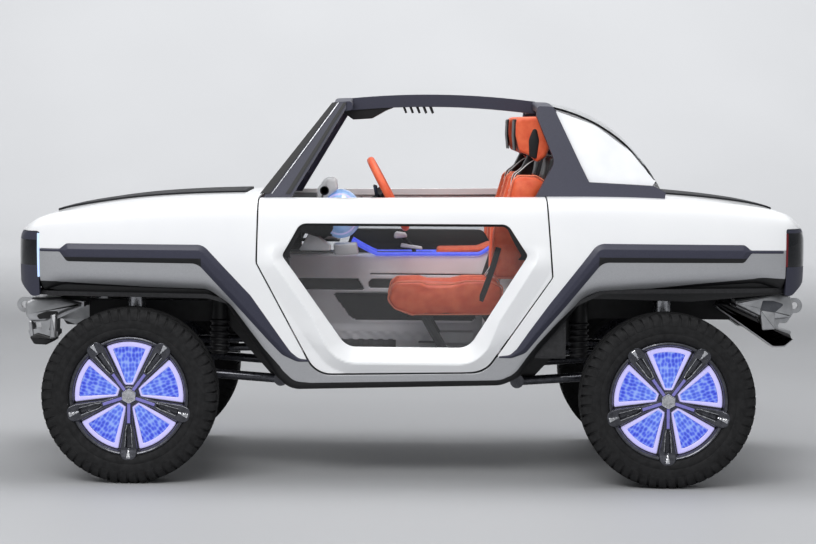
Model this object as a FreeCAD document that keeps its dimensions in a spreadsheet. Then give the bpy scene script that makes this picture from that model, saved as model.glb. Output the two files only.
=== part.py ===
import FreeCAD, Part
import math
import os
from FreeCAD import Placement, Rotation, Vector

# Dune buggy: a small open electric off-road two-seater with lit wheels.
# Frame: front of the vehicle is -X, its left side is -Y, the ground is Z = 0, millimetres.

doc = FreeCAD.newDocument("DuneBuggy")
sheet = doc.addObject("Spreadsheet::Sheet", "Sizes")

# Driving sizes, one group for each assembly. Heights are above the ground.
size_groups = {
    "stance": {
        "front_axle_x": -1180, "wheelbase": 2270, "track": 1440, "tyre_radius": 370, "tyre_width": 205,
        "overrun": 60, "seat_gap": 0.3,
    },
    "wheel": {
        "rim_radius": 266, "rim_lip": 14, "barrel_radius": 226, "barrel_wall": 9, "tyre_bulge": 12,
        "tread_shoulder": 34, "bead_inset": 18, "hub_radius": 66, "hub_depth": 120, "rim_dish": 22,
        "spoke_root_width": 84, "spoke_tip_width": 62, "spoke_depth": 34, "spoke_slot_width": 16,
        "spoke_slot_start": 120, "cap_radius": 29, "cap_height": 8, "cap_round": 3,
        "light_inner_radius": 76, "light_outer_radius": 230, "light_depth": 16, "light_inset": 12,
        "light_root_gap": 2, "light_tip_gap": 8, "tyre_side_tuck": 2, "tyre_flank": 34, "bead_round": 4,
        "shoulder_round": 16, "lip_width": 26, "lip_step": 60, "barrel_back": 40, "lip_back": 6,
        "spoke_round": 6,
    },
    "body": {
        "nose_x": -1672, "tail_x": 1684, "body_half_width": 803, "body_floor": 380, "skin": 28,
        "hood_height": 1172, "cowl_height": 1226, "deck_height": 1242, "deck_rear_height": 1224,
        "shoulder_drop": 22, "shoulder_width": 60, "nose_corner": 240, "tail_corner": 240,
        "nose_top": 1036, "tail_top": 1066, "nose_narrowing": 243, "flare_tuck": 45,
        "sill_tuck": 118, "strip_height": 985, "waist_height": 1095, "fascia_height": 900,
        "flare_height": 760, "sill_height": 560, "hem_tuck": 85, "lip_tuck": 10, "cockpit_rise": 6,
        "deck_front_rise": 2, "deck_rear_fall": 10, "tail_rise": 4, "waist_tuck": 4, "waist_fall": 30,
        "shoulder_tuck": 12, "shoulder_fall": 26, "shoulder_lift": 6, "crown_fall": 10,
    },
    "outline": {
        "nose_low": 778, "nose_chin": 852, "tail_low": 812, "tail_chin": 882, "chin_inset": 4,
        "sill_low": 409, "body_rake": 44, "front_lip_height": 814, "front_arch_top_height": 796,
        "rear_arch_top_height": 798, "rear_lip_height": 850, "front_arch_top_x": -862,
        "front_arch_mid_x": -778, "front_arch_mid_height": 737, "front_arch_low_x": -566,
        "front_arch_low_height": 457, "front_sill_x": -500, "rear_sill_x": 390, "rear_arch_low_x": 464,
        "rear_arch_low_height": 462, "rear_arch_mid_x": 567, "rear_arch_mid_height": 583,
        "rear_arch_top_x": 753, "front_lip_x": -1470, "rear_lip_x": 1466, "nose_low_x": -1600,
        "tail_low_x": 1610, "arch_round": 70, "corner_round": 60,
    },
    "moulding": {
        "strip_proud": 12, "strip_top": 1000, "strip_width": 66, "strip_front_end_x": -1445,
        "strip_front_bend_x": -872, "strip_front_low_bend_x": -895, "strip_front_mid_x": -673,
        "strip_front_mid_height": 797, "strip_front_low_x": -749, "strip_front_low_height": 771,
        "strip_front_tip_x": -424, "strip_front_tip_height": 530, "strip_nose_x": -1560,
        "strip_rear_end_x": 1400, "strip_rear_bend_x": 783, "strip_rear_low_bend_x": 805,
        "strip_rear_mid_x": 586, "strip_rear_mid_height": 772, "strip_rear_low_x": 653,
        "strip_rear_low_height": 760, "strip_rear_tip_x": 374, "strip_rear_tip_height": 555,
        "strip_tail_x": 1568, "groove_width": 12, "strip_lift": 22, "strip_taper": 14, "strip_step": 30,
        "strip_low_rise": 4, "tip_length": 60, "tip_rise": 24, "tip_low_length": 70, "tip_round": 40,
        "waist_overlap": 4, "waist_inset": 32, "waist_drop": 12,
    },
    "door": {
        "door_front_x": -642, "door_kink_x": -652, "door_kink_height": 935, "door_low_front_x": -388,
        "door_low_height": 482, "door_low_rear_x": 338, "door_rear_kink_x": 600,
        "door_rear_kink_height": 885, "door_rear_x": 556, "door_gap": 6, "door_wall": 70,
        "door_round": 55, "door_top": 1400, "door_low_rise": 8, "window_top_rise": 4, "bevel_width": 42,
        "bevel_depth": 14, "window_kink_x": -541, "window_kink_height": 967, "window_top_front_x": -466,
        "window_top_height": 1104, "window_top_rear_x": 405, "window_rear_kink_x": 491,
        "window_rear_kink_height": 977, "window_low_rear_x": 260, "window_low_height": 597,
        "window_low_front_x": -282, "window_round": 45, "glass_inset": 22, "glass_thickness": 8,
    },
    "hood": {
        "hood_front_x": -1560, "hood_rear_x": -720, "hood_front_half_width": 285,
        "hood_rear_half_width": 335, "hood_gap": 5, "hood_proud": 8, "deck_front_x": 1092,
        "deck_rear_x": 1590, "panel_corner": 8, "lip_depth": 30,
    },
    "ends": {
        "fascia_x": -1566, "fascia_top": 1056, "tail_fascia_x": 1583, "tail_fascia_top": 1096,
        "lamp_half_height": 54, "lamp_height": 968, "tail_lamp_height": 1010,
        "tail_lamp_half_height": 72, "lamp_depth": 20, "lamp_reach": 373,
    },
    "cab": {
        "cockpit_front_x": -600, "cockpit_rear_x": 1040, "cockpit_rim": 111,
        "shelf_rim": 203, "shelf_front_x": 660, "floor_height": 545,
        "cockpit_front_inset": 90, "cockpit_post_inset": 60, "cockpit_post_step": 40,
        "cockpit_round": 30, "cockpit_rear_round": 40, "floor_front_x": -500, "floor_rear_x": 500,
        "toe_x": -640, "toe_height": 745, "rear_toe_x": 690, "rear_toe_height": 775,
        "tray_front_x": -1590, "tray_rear_x": 1600, "tray_front_height": 805, "tray_rear_height": 848,
        "firewall_x": -640, "firewall_wall": 22, "bulkhead_x": 640, "wall_top": 1150,
        "post_front_x": -636, "post_depth": 120, "post_width": 60, "post_gap": 4,
        "rear_post_x": 530, "tub_wall": 18, "tray_front_fall": 6, "tray_rear_fall": 12,
        "tray_rear_bend": 60, "firewall_overlap": 4, "bulkhead_low": 685, "front_post_low": 615,
    },
    "screen": {
        "pillar_base_front_x": -635, "pillar_base_rear_x": -515, "pillar_top_front_x": -337,
        "pillar_top_rear_x": -282, "pillar_gap": 6, "pillar_lean": 82, "pillar_width": 56,
        "header_height": 1614, "header_crown": 20, "header_depth": 78, "header_thickness": 52,
        "glass_wall": 6, "screen_bow": 50, "bar_half_width": 118, "roof_rise": 24,
        "bar_thickness": 54, "hoop_front_x": 529, "hoop_rear_x": 600, "hoop_height": 1604,
        "hoop_beam_depth": 40, "hoop_kink_x": 608, "hoop_kink_height": 1370, "hoop_base_x": 513,
        "band_rear_x": 1069, "band_height": 1284, "panel_front_x": 752, "panel_rear_x": 1022,
        "hoop_thickness": 60, "quarter_thickness": 14, "screen_rear_low_x": 1078,
        "screen_rear_rise": 96, "rear_glass_wall": 8, "deck_seat_height": 1236, "pillar_round": 16,
        "header_inset": 4, "header_nose": 6, "header_round": 12, "header_tail": 8,
        "header_tail_lift": 22, "glass_setback": 24, "glass_foot": 60, "roof_rear_rise": 4,
        "roof_overlap": 20, "hoop_round": 20, "hoop_kink_round": 60, "hoop_foot": 90, "band_step": 8,
        "band_fall": 12, "panel_gap": 2, "panel_fall": 10, "panel_round": 12, "arc_drop": 26,
        "arc_round": 200, "beam_inset": 2, "beam_tail": 20, "beam_tail_lift": 14,
    },
    "interior": {
        "dash_front_x": -612, "dash_rear_x": -336, "dash_top": 1192, "dash_low": 1038,
        "dash_nose": 1100, "dash_gap": 86, "pod_radius": 112, "pod_x": -262, "pod_height": 1172,
        "console_front_x": -560, "console_rear_x": 428, "console_top": 930, "console_half_width": 95,
        "console_rise_x": 312, "console_rise": 66, "rail_radius": 11, "rail_front_x": -259,
        "rail_bend_x": -154, "rail_height": 945, "rail_end_height": 1004,
        "seat_side_gap": 120, "seat_console_gap": 37, "cushion_front_x": -104, "cushion_rear_x": 400,
        "cushion_low": 700,
        "cushion_top": 848, "back_low_x": 352, "back_top_x": 452, "back_thickness": 140,
        "back_low": 852, "back_top": 1345, "headrest_low": 1352, "headrest_top": 1566,
        "headrest_width": 280, "headrest_depth": 130, "headrest_front_x": 445, "leg_width": 30,
        "leg_spread": 150, "leg_front_x": 60, "leg_rear_x": 330, "leg_lean": 90, "leg_depth": 42,
        "foot_depth": 22, "seat_rail_depth": 24, "rail_overhang": 60, "dash_front_low": 60,
        "dash_round": 20, "dash_brow": 70, "dash_brow_low": 50, "dash_lip": 20, "dash_tail_round": 30,
        "dash_strut_half": 30, "dash_strut_depth": 50, "console_round": 20, "console_tail": 40,
        "console_tail_round": 16, "console_tail_fall": 10, "rail_tail_x": 408, "rail_tail_rise": 14,
        "rail_foot_low": 30, "rail_foot_top": 4, "cushion_nose": 60, "cushion_nose_round": 50,
        "cushion_heel": 30, "cushion_fall": 8, "cushion_tail_fall": 30, "back_round": 40,
        "headrest_lean": 6, "headrest_round": 36, "neck_front": 40, "neck_depth": 50, "neck_half": 60,
        "neck_overlap": 10, "seat_tie_half": 150, "seat_tie_low": 60, "seat_tie_top": 20,
        "seat_tie_inset": 8,
    },
    "steering": {
        "steer_wheel_x": -100, "steer_wheel_height": 1218, "steer_wheel_radius": 165,
        "steer_rim_radius": 14, "column_angle": 28, "column_radius": 22, "column_length": 330,
        "boss_radius": 46, "boss_depth": 46, "spoke_bar_radius": 9, "shroud_gap": 60,
    },
    "chassis": {
        "rail_y": 300, "rail_width": 70, "rail_depth": 90, "mid_rail_top": 500, "end_rail_top": 744,
        "rear_rail_lift": 30, "rail_bend_front_x": -560, "rail_rise_front_x": -760,
        "rail_bend_rear_x": 500, "rail_rise_rear_x": 742, "rail_front_end_x": -1400,
        "rail_rear_end_x": 1400, "cross_radius": 30, "battery_length": 850, "battery_depth": 112,
        "battery_x": -30, "beam_radius": 38, "beam_half_length": 536, "diff_radius": 104,
        "diff_length": 300, "kingpin_y": 580,
        "ear_radius": 28, "ear_thickness": 18, "knuckle_radius": 28, "knuckle_half_height": 62,
        "axle_radius": 25, "strut_y": 488, "strut_radius": 38, "strut_rod_radius": 24,
        "strut_split_height": 640, "lower_link_radius": 20, "lower_link_axle_height": 452,
        "lower_link_frame_x": -560, "lower_link_frame_height": 408, "upper_link_y": 215,
        "upper_link_radius": 17, "upper_link_axle_height": 520, "upper_link_frame_x": -650,
        "upper_link_frame_height": 530, "eye_radius": 30, "eye_width": 46, "spring_x": -826,
        "spring_y": 424, "spring_radius": 44, "spring_wire": 8, "spring_low": 520, "spring_turns": 6,
        "spring_pitch": 26, "rail_round": 60, "cross_inset": 60, "front_cross_inset": 50,
        "rear_cross_inset": 30, "motor_reach": 120, "motor_lift": 40, "pad_half": 24,
        "strut_pad_rise": 8, "strut_pad_flange": 6, "web_width": 20, "strut_overlap": 40,
        "arm_length": 110, "arm_half": 14, "arm_low": 50, "arm_top": 22,
    },
    "bumper": {
        "bumper_half_width": 560, "pod_nose_x": -1650, "pod_top": 768, "pod_nose_height": 705,
        "pod_low": 655, "pod_back_x": -1400, "pod_back_height": 738, "fin_low": 566,
        "fin_nose_x": -1640, "fin_back_x": -1512, "fin_width": 130, "bracket_proud": 10, "hook_y": 270,
        "hook_tip_x": 1730, "hook_thickness": 18, "hook_radius": 34, "hook_bore": 15,
        "hook_height": 712, "pod_nose_round": 30, "pod_brow": 26, "pod_brow_fall": 8,
        "pod_flat": 80, "pod_edge_round": 20, "pod_top_round": 40, "pod_back_rise": 10,
        "pod_back_fall": 12, "pod_belly": 110, "pod_belly_rise": 6, "pod_heel": 34, "fin_rise": 60,
        "fin_nose_round": 10, "fin_chin": 12, "fin_chin_rise": 26, "fin_chin_round": 16, "fin_flat": 76,
        "fin_back_rise": 34, "fin_back_round": 8, "fin_back_top": 54, "fin_heel": 70,
        "fin_heel_rise": 66, "strap_front": 70, "strap_front_rise": 30, "strap_back": 40,
        "strap_back_rise": 46, "strap_top_back": 10, "strap_top_fall": 20, "strap_top_front": 50,
        "strap_top_rise": 30, "stub_front": 60, "stub_low": 5, "stub_top": 25, "tongue_reach": 40,
    },
}

# Sheet rows: the alias of every cell is the name of its size.
row = 1
for group, values in size_groups.items():
    sheet.set("A%d" % row, group)
    row += 1
    for name, value in values.items():
        sheet.set("A%d" % row, name)
        sheet.set("B%d" % row, str(value))
        sheet.setAlias("B%d" % row, name)
        row += 1
doc.recompute()


class Sizes:
    """Every size of the sheet, read back by its alias."""


size = Sizes()
for group, values in size_groups.items():
    for name in values:
        setattr(size, name, float(sheet.get(name)))

rear_axle_x = size.front_axle_x + size.wheelbase
axle_height = size.tyre_radius
wheel_y = size.track / 2
wheel_face = size.tyre_width / 2
cockpit_half_width = size.body_half_width - size.cockpit_rim
shelf_half_width = size.body_half_width - size.shelf_rim
pillar_base_y = cockpit_half_width - size.pillar_gap
pillar_top_y = pillar_base_y - size.pillar_lean
seat_inner_y = size.console_half_width + size.seat_console_gap
seat_width = cockpit_half_width - size.seat_side_gap - seat_inner_y
seat_y = seat_inner_y + seat_width / 2
lower_link_y = size.rail_y + size.rail_width + size.eye_width / 2 + size.seat_gap
parts = {}


def keep(label, shape):
    """A sub-part whose shape is worked out here, as a document object with its own label."""
    piece = doc.addObject("Part::Feature", label)
    piece.Label = label
    piece.Shape = shape
    piece.Placement = Placement()
    parts[label] = piece
    return piece


def adopt(label, piece):
    """A sub-part built from document features."""
    piece.Label = label
    parts[label] = piece
    return piece


def bind(piece, **expressions):
    for name, expression in expressions.items():
        piece.setExpression(name.replace("__", "."), expression)


# Outlines. A corner is (a, b) or (a, b, radius); straight runs joined by tangent arcs.

def rounded_wire(corners, place, radius=0):
    """Closed wire through the corners, each rounded; place turns (a, b) into a Vector."""
    count = len(corners)
    starts = []
    for index, corner in enumerate(corners):
        point = Vector(corner[0], corner[1], 0)
        before = Vector(corners[index - 1][0], corners[index - 1][1], 0) - point
        after = Vector(corners[(index + 1) % count][0], corners[(index + 1) % count][1], 0) - point
        round_size = corner[2] if len(corner) > 2 else radius
        half_turn = before.getAngle(after) / 2
        if round_size <= 0 or abs(half_turn - math.pi / 2) < 0.002:
            starts.append((point, None, point))
            continue
        cut = min(round_size / math.tan(half_turn), before.Length * 0.45, after.Length * 0.45)
        before.normalize()
        after.normalize()
        first = point + before * cut
        last = point + after * cut
        arc_radius = cut * math.tan(half_turn)
        bisector = before + after
        bisector.normalize()
        centre = point + bisector * (cut / math.cos(half_turn))
        starts.append((first, centre - bisector * arc_radius, last))
    edges = []
    for index, (first, middle, last) in enumerate(starts):
        if middle is not None:
            edges.append(Part.Arc(to_plane(first, place), to_plane(middle, place),
                                  to_plane(last, place)).toShape())
        following = starts[(index + 1) % count][0]
        if last.distanceToPoint(following) > 1e-6:
            edges.append(Part.LineSegment(to_plane(last, place), to_plane(following, place)).toShape())
    return Part.Wire(edges)


def to_plane(point, place):
    return place(point.x, point.y)


def side_prism(corners, y_from, y_to, radius=0):
    """A profile in the side view (X, Z), extruded across the vehicle."""
    wire = rounded_wire(corners, lambda x, z: Vector(x, y_from, z), radius)
    return Part.Face(wire).extrude(Vector(0, y_to - y_from, 0))


def top_prism(corners, z_from, z_to, radius=0):
    """A profile in the top view (X, Y), extruded upwards."""
    wire = rounded_wire(corners, lambda x, y: Vector(x, y, z_from), radius)
    return Part.Face(wire).extrude(Vector(0, 0, z_to - z_from))


def block(x_from, x_to, y_from, y_to, z_from, z_to):
    corner = Vector(min(x_from, x_to), min(y_from, y_to), min(z_from, z_to))
    return Part.makeBox(abs(x_to - x_from), abs(y_to - y_from), abs(z_to - z_from), corner)


def rod(start, end, radius):
    return Part.makeCylinder(radius, (end - start).Length, start, end - start)


def mirrored(shape):
    """The same shape on the other side of the vehicle."""
    return shape.mirror(Vector(0, 0, 0), Vector(0, 1, 0))


def both_sides(shape):
    return Part.makeCompound([shape, mirrored(shape)])


def joined(shapes):
    return shapes[0].multiFuse(shapes[1:]).removeSplitter()


sliver_share = 0.02
pair_share = 0.2


def larger_solids(shape, least_share=sliver_share):
    """The solids of a boolean result without its slivers."""
    solids = sorted(shape.Solids, key=lambda solid: -solid.Volume)
    kept = [solid for solid in solids if solid.Volume > least_share * solids[0].Volume]
    return kept[0] if len(kept) == 1 else Part.makeCompound(kept)


# Body net: rows run from nose to tail, each row from the left hem over the top to the right hem.

# Along the nose (and the tail) from its end: place, narrowing and fall of the crown, as shares of the whole.
end_shares = ((0, 1, 1), (0.01, 0.84, 0.88), (0.08, 0.5, 0.74), (0.26, 0.24, 0.5), (0.56, 0.07, 0.24))
end_drop_share = 0.6
# From the nose back to the cowl: (place as a share of the tail's x, share of the rise to the cowl).
cowl_shares = ((-0.8, 0.0), (-0.68, 0.56), (-0.45, 0.96), (-0.18, 1.0))
deck_place_shares = (0.14, 0.5, 0.7)
strip_inset_share = 0.2
shoulder_share = 0.7
crown_edge_share = 3.6
crown_share = 0.34


def rake(x):
    """The body sits nose down: its lines rise evenly towards the tail."""
    return size.body_rake * (x - size.nose_x) / (size.tail_x - size.nose_x) - size.body_rake / 2


def body_rows(inset):
    """(x, half width, crown height, shoulder height) of each row, for a skin set in by inset."""
    nose_fall = size.hood_height - size.nose_top
    tail_fall = size.deck_rear_height - size.tail_top
    rows = []
    for along, narrow, fall in end_shares:
        x = size.nose_x + inset + along * size.nose_corner
        rows.append((x, size.body_half_width - narrow * size.nose_narrowing - inset,
                     size.hood_height - fall * nose_fall - inset,
                     size.shoulder_drop * (1 - along) * end_drop_share))
    for along, rise in cowl_shares:
        crown = size.hood_height + rise * (size.cowl_height - size.hood_height)
        rows.append((along * size.tail_x, size.body_half_width - inset, crown - inset, size.shoulder_drop))
    deck_crowns = (size.cowl_height + size.cockpit_rise, size.deck_height + size.deck_front_rise,
                   size.deck_height - size.deck_rear_fall)
    for along, crown in zip(deck_place_shares, deck_crowns):
        rows.append((along * size.tail_x, size.body_half_width - inset, crown - inset, size.shoulder_drop))
    for along, narrow, fall in reversed(end_shares):
        x = size.tail_x - inset - along * size.tail_corner
        rows.append((x, size.body_half_width - narrow * size.nose_narrowing - inset,
                     size.deck_rear_height + size.tail_rise - fall * tail_fall - inset,
                     size.shoulder_drop * (1 - along) * end_drop_share))
    return rows


def half_section(width, crown, drop, inset):
    """Control points (y, z) of half a section, from the hem up to the crown's centre."""
    shoulder = crown - drop
    return (
        (width - size.sill_tuck, size.body_floor), (width - size.hem_tuck, size.sill_height),
        (width - size.flare_tuck, size.flare_height), (width - size.lip_tuck, size.fascia_height),
        (width, size.strip_height - inset * strip_inset_share),
        (width - size.waist_tuck, min(size.waist_height, shoulder - size.waist_fall)),
        (width - size.shoulder_tuck, shoulder - size.shoulder_fall),
        (width - size.shoulder_width * shoulder_share, shoulder + size.shoulder_lift),
        (width - size.shoulder_width * crown_edge_share, crown - size.crown_fall),
        (width * crown_share, crown), (0, crown),
    )


def clamped_knots(count, degree=3):
    spans = count - degree
    return [float(value) for value in range(spans + 1)], [degree + 1] + [1] * (spans - 1) + [degree + 1]


def body_solid(inset=0.0):
    """The whole body as one closed solid, its surface set in (or out) by inset."""
    poles = []
    for x, width, crown, drop in body_rows(inset):
        half = half_section(width, crown, drop, inset)
        left = [Vector(x, -y, z) for y, z in half]
        right = [Vector(x, y, z) for y, z in reversed(half[:-1])]
        poles.append(left + right)
    row_knots, row_mults = clamped_knots(len(poles))
    section_knots, section_mults = clamped_knots(len(poles[0]))
    surface = Part.BSplineSurface()
    surface.buildFromPolesMultsKnots(poles, row_mults, section_mults, row_knots, section_knots,
                                     False, False, 3, 3)
    skin = surface.toShape()
    nose, tail = [], []
    hems = []
    for edge in skin.Edges:
        box = edge.BoundBox
        if box.XLength < 1:
            (nose if box.Center.x < 0 else tail).append(edge)
        else:
            hems.append(edge)
    caps = []
    ends = []
    for cap_edges in (nose, tail):
        first, last = cap_edges[0].Vertexes[0].Point, cap_edges[0].Vertexes[-1].Point
        closing = Part.LineSegment(first, last).toShape()
        caps.append(Part.Face(Part.Wire(Part.__sortEdges__([cap_edges[0], closing]))))
        ends.append(closing)
    floor = Part.Face(Part.Wire(Part.__sortEdges__(hems + ends)))
    shell = Part.Compound([skin, floor] + caps)
    shell.sewShape()
    solid = Part.Solid(Part.Shell(shell.Faces))
    if solid.Volume < 0:
        solid.reverse()
    return solid


def body_outline():
    """The body's side view below the shoulder: nose, arches, sill and tail."""
    far_x = size.tail_x + size.overrun
    rise = size.body_rake / 2
    corners = [
        (size.nose_x - size.overrun, size.door_top), (size.nose_x - size.overrun, size.fascia_height),
        (size.nose_x - size.chin_inset, size.nose_chin, size.corner_round),
        (size.nose_low_x, size.nose_low, size.corner_round / 2),
        (size.front_lip_x, size.front_lip_height, size.arch_round * 2),
        (size.front_arch_top_x, size.front_arch_top_height, size.arch_round),
        (size.front_arch_mid_x, size.front_arch_mid_height, size.arch_round * 2),
        (size.front_arch_low_x, size.front_arch_low_height, size.arch_round),
        (size.front_sill_x, size.sill_low, size.arch_round * 2),
        (size.rear_sill_x, size.sill_low + rise, size.arch_round * 2),
        (size.rear_arch_low_x, size.rear_arch_low_height, size.arch_round * 2),
        (size.rear_arch_mid_x, size.rear_arch_mid_height, size.arch_round * 2),
        (size.rear_arch_top_x, size.rear_arch_top_height, size.arch_round * 2),
        (size.rear_lip_x, size.rear_lip_height, size.arch_round * 2),
        (size.tail_low_x, size.tail_low, size.corner_round / 2),
        (size.tail_x + size.chin_inset, size.tail_chin, size.corner_round),
        (far_x, size.fascia_height + rise), (far_x, size.door_top),
    ]
    return side_prism(corners, -size.body_half_width - size.overrun, size.body_half_width + size.overrun)


# What a gap across a slanted edge moves its lower and its upper corner along.
slant_share = 0.6
window_slant_share = 0.5
window_top_share = 0.3


def door_corners(gap=0.0):
    """The door's outline in the side view; gap sets the leaf in from its opening."""
    return [
        (size.door_front_x + gap, size.door_top), (size.door_kink_x + gap, size.door_kink_height),
        (size.door_low_front_x + gap * slant_share, size.door_low_height + gap, size.door_round),
        (size.door_low_rear_x - gap * slant_share, size.door_low_height + gap + size.door_low_rise,
         size.door_round),
        (size.door_rear_kink_x - gap, size.door_rear_kink_height), (size.door_rear_x - gap, size.door_top),
    ]


def window_corners(grow=0.0):
    """The door's hexagonal window; grow spreads it on the diagonals and at the bottom only."""
    return [
        (size.window_top_front_x - grow * window_top_share, size.window_top_height, size.window_round),
        (size.window_kink_x - grow, size.window_kink_height, size.window_round / 2),
        (size.window_low_front_x - grow * window_slant_share, size.window_low_height - grow,
         size.window_round),
        (size.window_low_rear_x + grow * window_slant_share, size.window_low_height - grow,
         size.window_round),
        (size.window_rear_kink_x + grow, size.window_rear_kink_height, size.window_round / 2),
        (size.window_top_rear_x + grow * window_top_share, size.window_top_height + size.window_top_rise,
         size.window_round),
    ]


def hood_corners(gap=0.0):
    front = size.hood_front_half_width - gap
    rear = size.hood_rear_half_width - gap
    return [(size.hood_front_x + gap, -front, size.corner_round),
            (size.hood_rear_x - gap, -rear, size.panel_corner),
            (size.hood_rear_x - gap, rear, size.panel_corner),
            (size.hood_front_x + gap, front, size.corner_round)]


def deck_corners(gap=0.0):
    front = size.hood_rear_half_width - gap
    rear = size.hood_front_half_width - gap
    return [(size.deck_front_x + gap, -front, size.panel_corner),
            (size.deck_rear_x - gap, -rear, size.corner_round),
            (size.deck_rear_x - gap, rear, size.corner_round),
            (size.deck_front_x + gap, front, size.panel_corner)]


groove_share = 0.45


def moulding_corners(front):
    """One dark strip: a thin groove from the end of the body, the wide run, the diagonal to its tip."""
    if front:
        side = 1
        lift = rake(size.strip_front_bend_x)
        end, bend, low_bend = size.strip_front_end_x, size.strip_front_bend_x, size.strip_front_low_bend_x
        mid = (size.strip_front_mid_x, size.strip_front_mid_height)
        low = (size.strip_front_low_x, size.strip_front_low_height)
        tip = (size.strip_front_tip_x, size.strip_front_tip_height)
        outer = size.strip_nose_x
    else:
        side = -1
        lift = rake(size.strip_rear_bend_x)
        end, bend, low_bend = size.strip_rear_end_x, size.strip_rear_bend_x, size.strip_rear_low_bend_x
        mid = (size.strip_rear_mid_x, size.strip_rear_mid_height)
        low = (size.strip_rear_low_x, size.strip_rear_low_height)
        tip = (size.strip_rear_tip_x, size.strip_rear_tip_height)
        outer = size.strip_tail_x
    top = size.strip_top + lift + size.strip_lift
    low_edge = top - size.strip_width - size.strip_taper
    groove = top - size.strip_width * groove_share
    step = end - side * size.strip_step
    return [
        (outer, groove + size.groove_width / 2), (step, groove + size.groove_width / 2),
        (end, top, size.corner_round / 3), (bend, top, size.corner_round), mid,
        (tip[0] - side * size.tip_length, tip[1] + size.tip_rise, size.corner_round * 2), tip,
        (tip[0] - side * size.tip_low_length, tip[1] + size.strip_low_rise, size.tip_round),
        low, (low_bend, low_edge, size.corner_round),
        (end, low_edge + size.strip_low_rise, size.corner_round / 3), (step, groove - size.groove_width / 2),
        (outer, groove - size.groove_width / 2),
    ]


def waist_line():
    """The side view above the line that parts the white upper skin from the silver flares."""
    front = moulding_corners(True)
    rear = moulding_corners(False)
    front_line = [front[0][:2], front[1][:2], (size.strip_front_bend_x, front[1][1] - size.waist_overlap),
                  (size.strip_front_mid_x - size.waist_inset, size.strip_front_mid_height - size.waist_drop),
                  (size.strip_front_tip_x, size.strip_front_tip_height)]
    rear_line = [rear[0][:2], rear[1][:2], (size.strip_rear_bend_x, rear[1][1] - size.waist_overlap),
                 (size.strip_rear_mid_x + size.waist_inset, size.strip_rear_mid_height - size.waist_drop),
                 (size.strip_rear_tip_x, size.strip_rear_tip_height)]
    start = [(size.nose_x - size.overrun, front[0][1])]
    finish = [(size.tail_x + size.overrun, rear[0][1])]
    across = [(0, size.strip_rear_tip_height)]
    return start + front_line + across + list(reversed(rear_line)) + finish


# Skin panels, all cut from the same net

outer_body = body_solid(0)
inner_body = body_solid(size.skin)
outline = body_outline()
wide = size.body_half_width + size.overrun
door_hole = side_prism(door_corners(), -wide, wide)
skin_shell = outer_body.common(outline).cut(inner_body)
front_inset = cockpit_half_width - size.cockpit_front_inset
post_inset = cockpit_half_width - size.cockpit_post_inset
step_x = size.hoop_base_x + size.cockpit_post_step
shelf_inset = shelf_half_width - size.cockpit_post_inset
cockpit_half = [
    (size.cockpit_front_x, front_inset, size.cockpit_round),
    (size.post_front_x, post_inset, size.panel_corner),
    (size.post_front_x, cockpit_half_width, size.panel_corner),
    (step_x, cockpit_half_width, size.panel_corner),
    (size.shelf_front_x, shelf_half_width, size.cockpit_round),
    (size.cockpit_rear_x, shelf_inset, size.cockpit_rear_round),
]
cockpit = top_prism([(x, -y, bend) for x, y, bend in cockpit_half] + list(reversed(cockpit_half)),
                    size.waist_height, size.door_top)
hood_hole = top_prism(hood_corners(), size.waist_height, size.door_top)
deck_hole = top_prism(deck_corners(), size.waist_height, size.door_top)
waist = waist_line()
before_nose = size.nose_x - size.overrun
behind_tail = size.tail_x + size.overrun
below_body = size.body_floor - size.overrun
upper_region = side_prism(waist + [(behind_tail, size.door_top), (before_nose, size.door_top)], -wide, wide)
lower_region = side_prism(waist + [(behind_tail, below_body), (before_nose, below_body)], -wide, wide)
nose_region = block(before_nose, size.fascia_x, -wide, wide, size.body_floor, size.fascia_top)
nose_lip = block(before_nose, size.hood_front_x + size.lip_depth, -size.hood_front_half_width,
                 size.hood_front_half_width, size.fascia_top, size.door_top)
tail_region = block(size.tail_fascia_x, behind_tail, -wide, wide, size.body_floor, size.tail_fascia_top)
tail_lip = block(size.deck_rear_x - size.lip_depth, behind_tail, -size.hood_front_half_width,
                 size.hood_front_half_width, size.tail_fascia_top, size.door_top)


def lamp_block(x_from, x_to, height, half_height):
    left = block(x_from, x_to, -wide, size.lamp_reach - size.body_half_width, height - half_height,
                 height + half_height)
    return Part.makeCompound([left, mirrored(left)])


def make_skin():
    body_panels = skin_shell.cut(door_hole)
    upper = body_panels.common(upper_region).cut(cockpit).cut(hood_hole).cut(deck_hole)
    upper = upper.cut(nose_region).cut(tail_region).cut(nose_lip).cut(tail_lip)
    hood_half, cowl_half = size.hood_front_half_width, size.hood_rear_half_width
    slant = top_prism([(before_nose, -wide), (before_nose, -hood_half), (size.hood_front_x, -hood_half),
                       (size.hood_rear_x, -cowl_half), (0, -cowl_half), (0, -wide)], 0, size.door_top)
    fender = larger_solids(upper.common(slant))
    keep("fender_left", fender)
    keep("fender_right", mirrored(fender))
    cowl_zone = block(size.hood_rear_x, 0, -cowl_half, cowl_half, 0, size.door_top)
    keep("cowl_panel", larger_solids(upper.common(cowl_zone)))
    rear_slant = top_prism([(behind_tail, -wide), (behind_tail, -hood_half), (size.deck_rear_x, -hood_half),
                            (size.deck_front_x, -cowl_half), (0, -cowl_half), (0, -wide)], 0, size.door_top)
    quarter = larger_solids(upper.common(rear_slant))
    keep("quarter_left", quarter)
    keep("quarter_right", mirrored(quarter))
    rear_zone = block(0, size.deck_front_x, -cowl_half, cowl_half, 0, size.door_top)
    keep("deck_bridge", larger_solids(upper.common(rear_zone)))
    lower = body_panels.common(lower_region).cut(nose_region).cut(tail_region)
    left_half = block(before_nose, behind_tail, -wide, 0, 0, size.door_top)
    flare = larger_solids(lower.common(left_half))
    keep("flare_left", flare)
    keep("flare_right", mirrored(flare))


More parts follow.
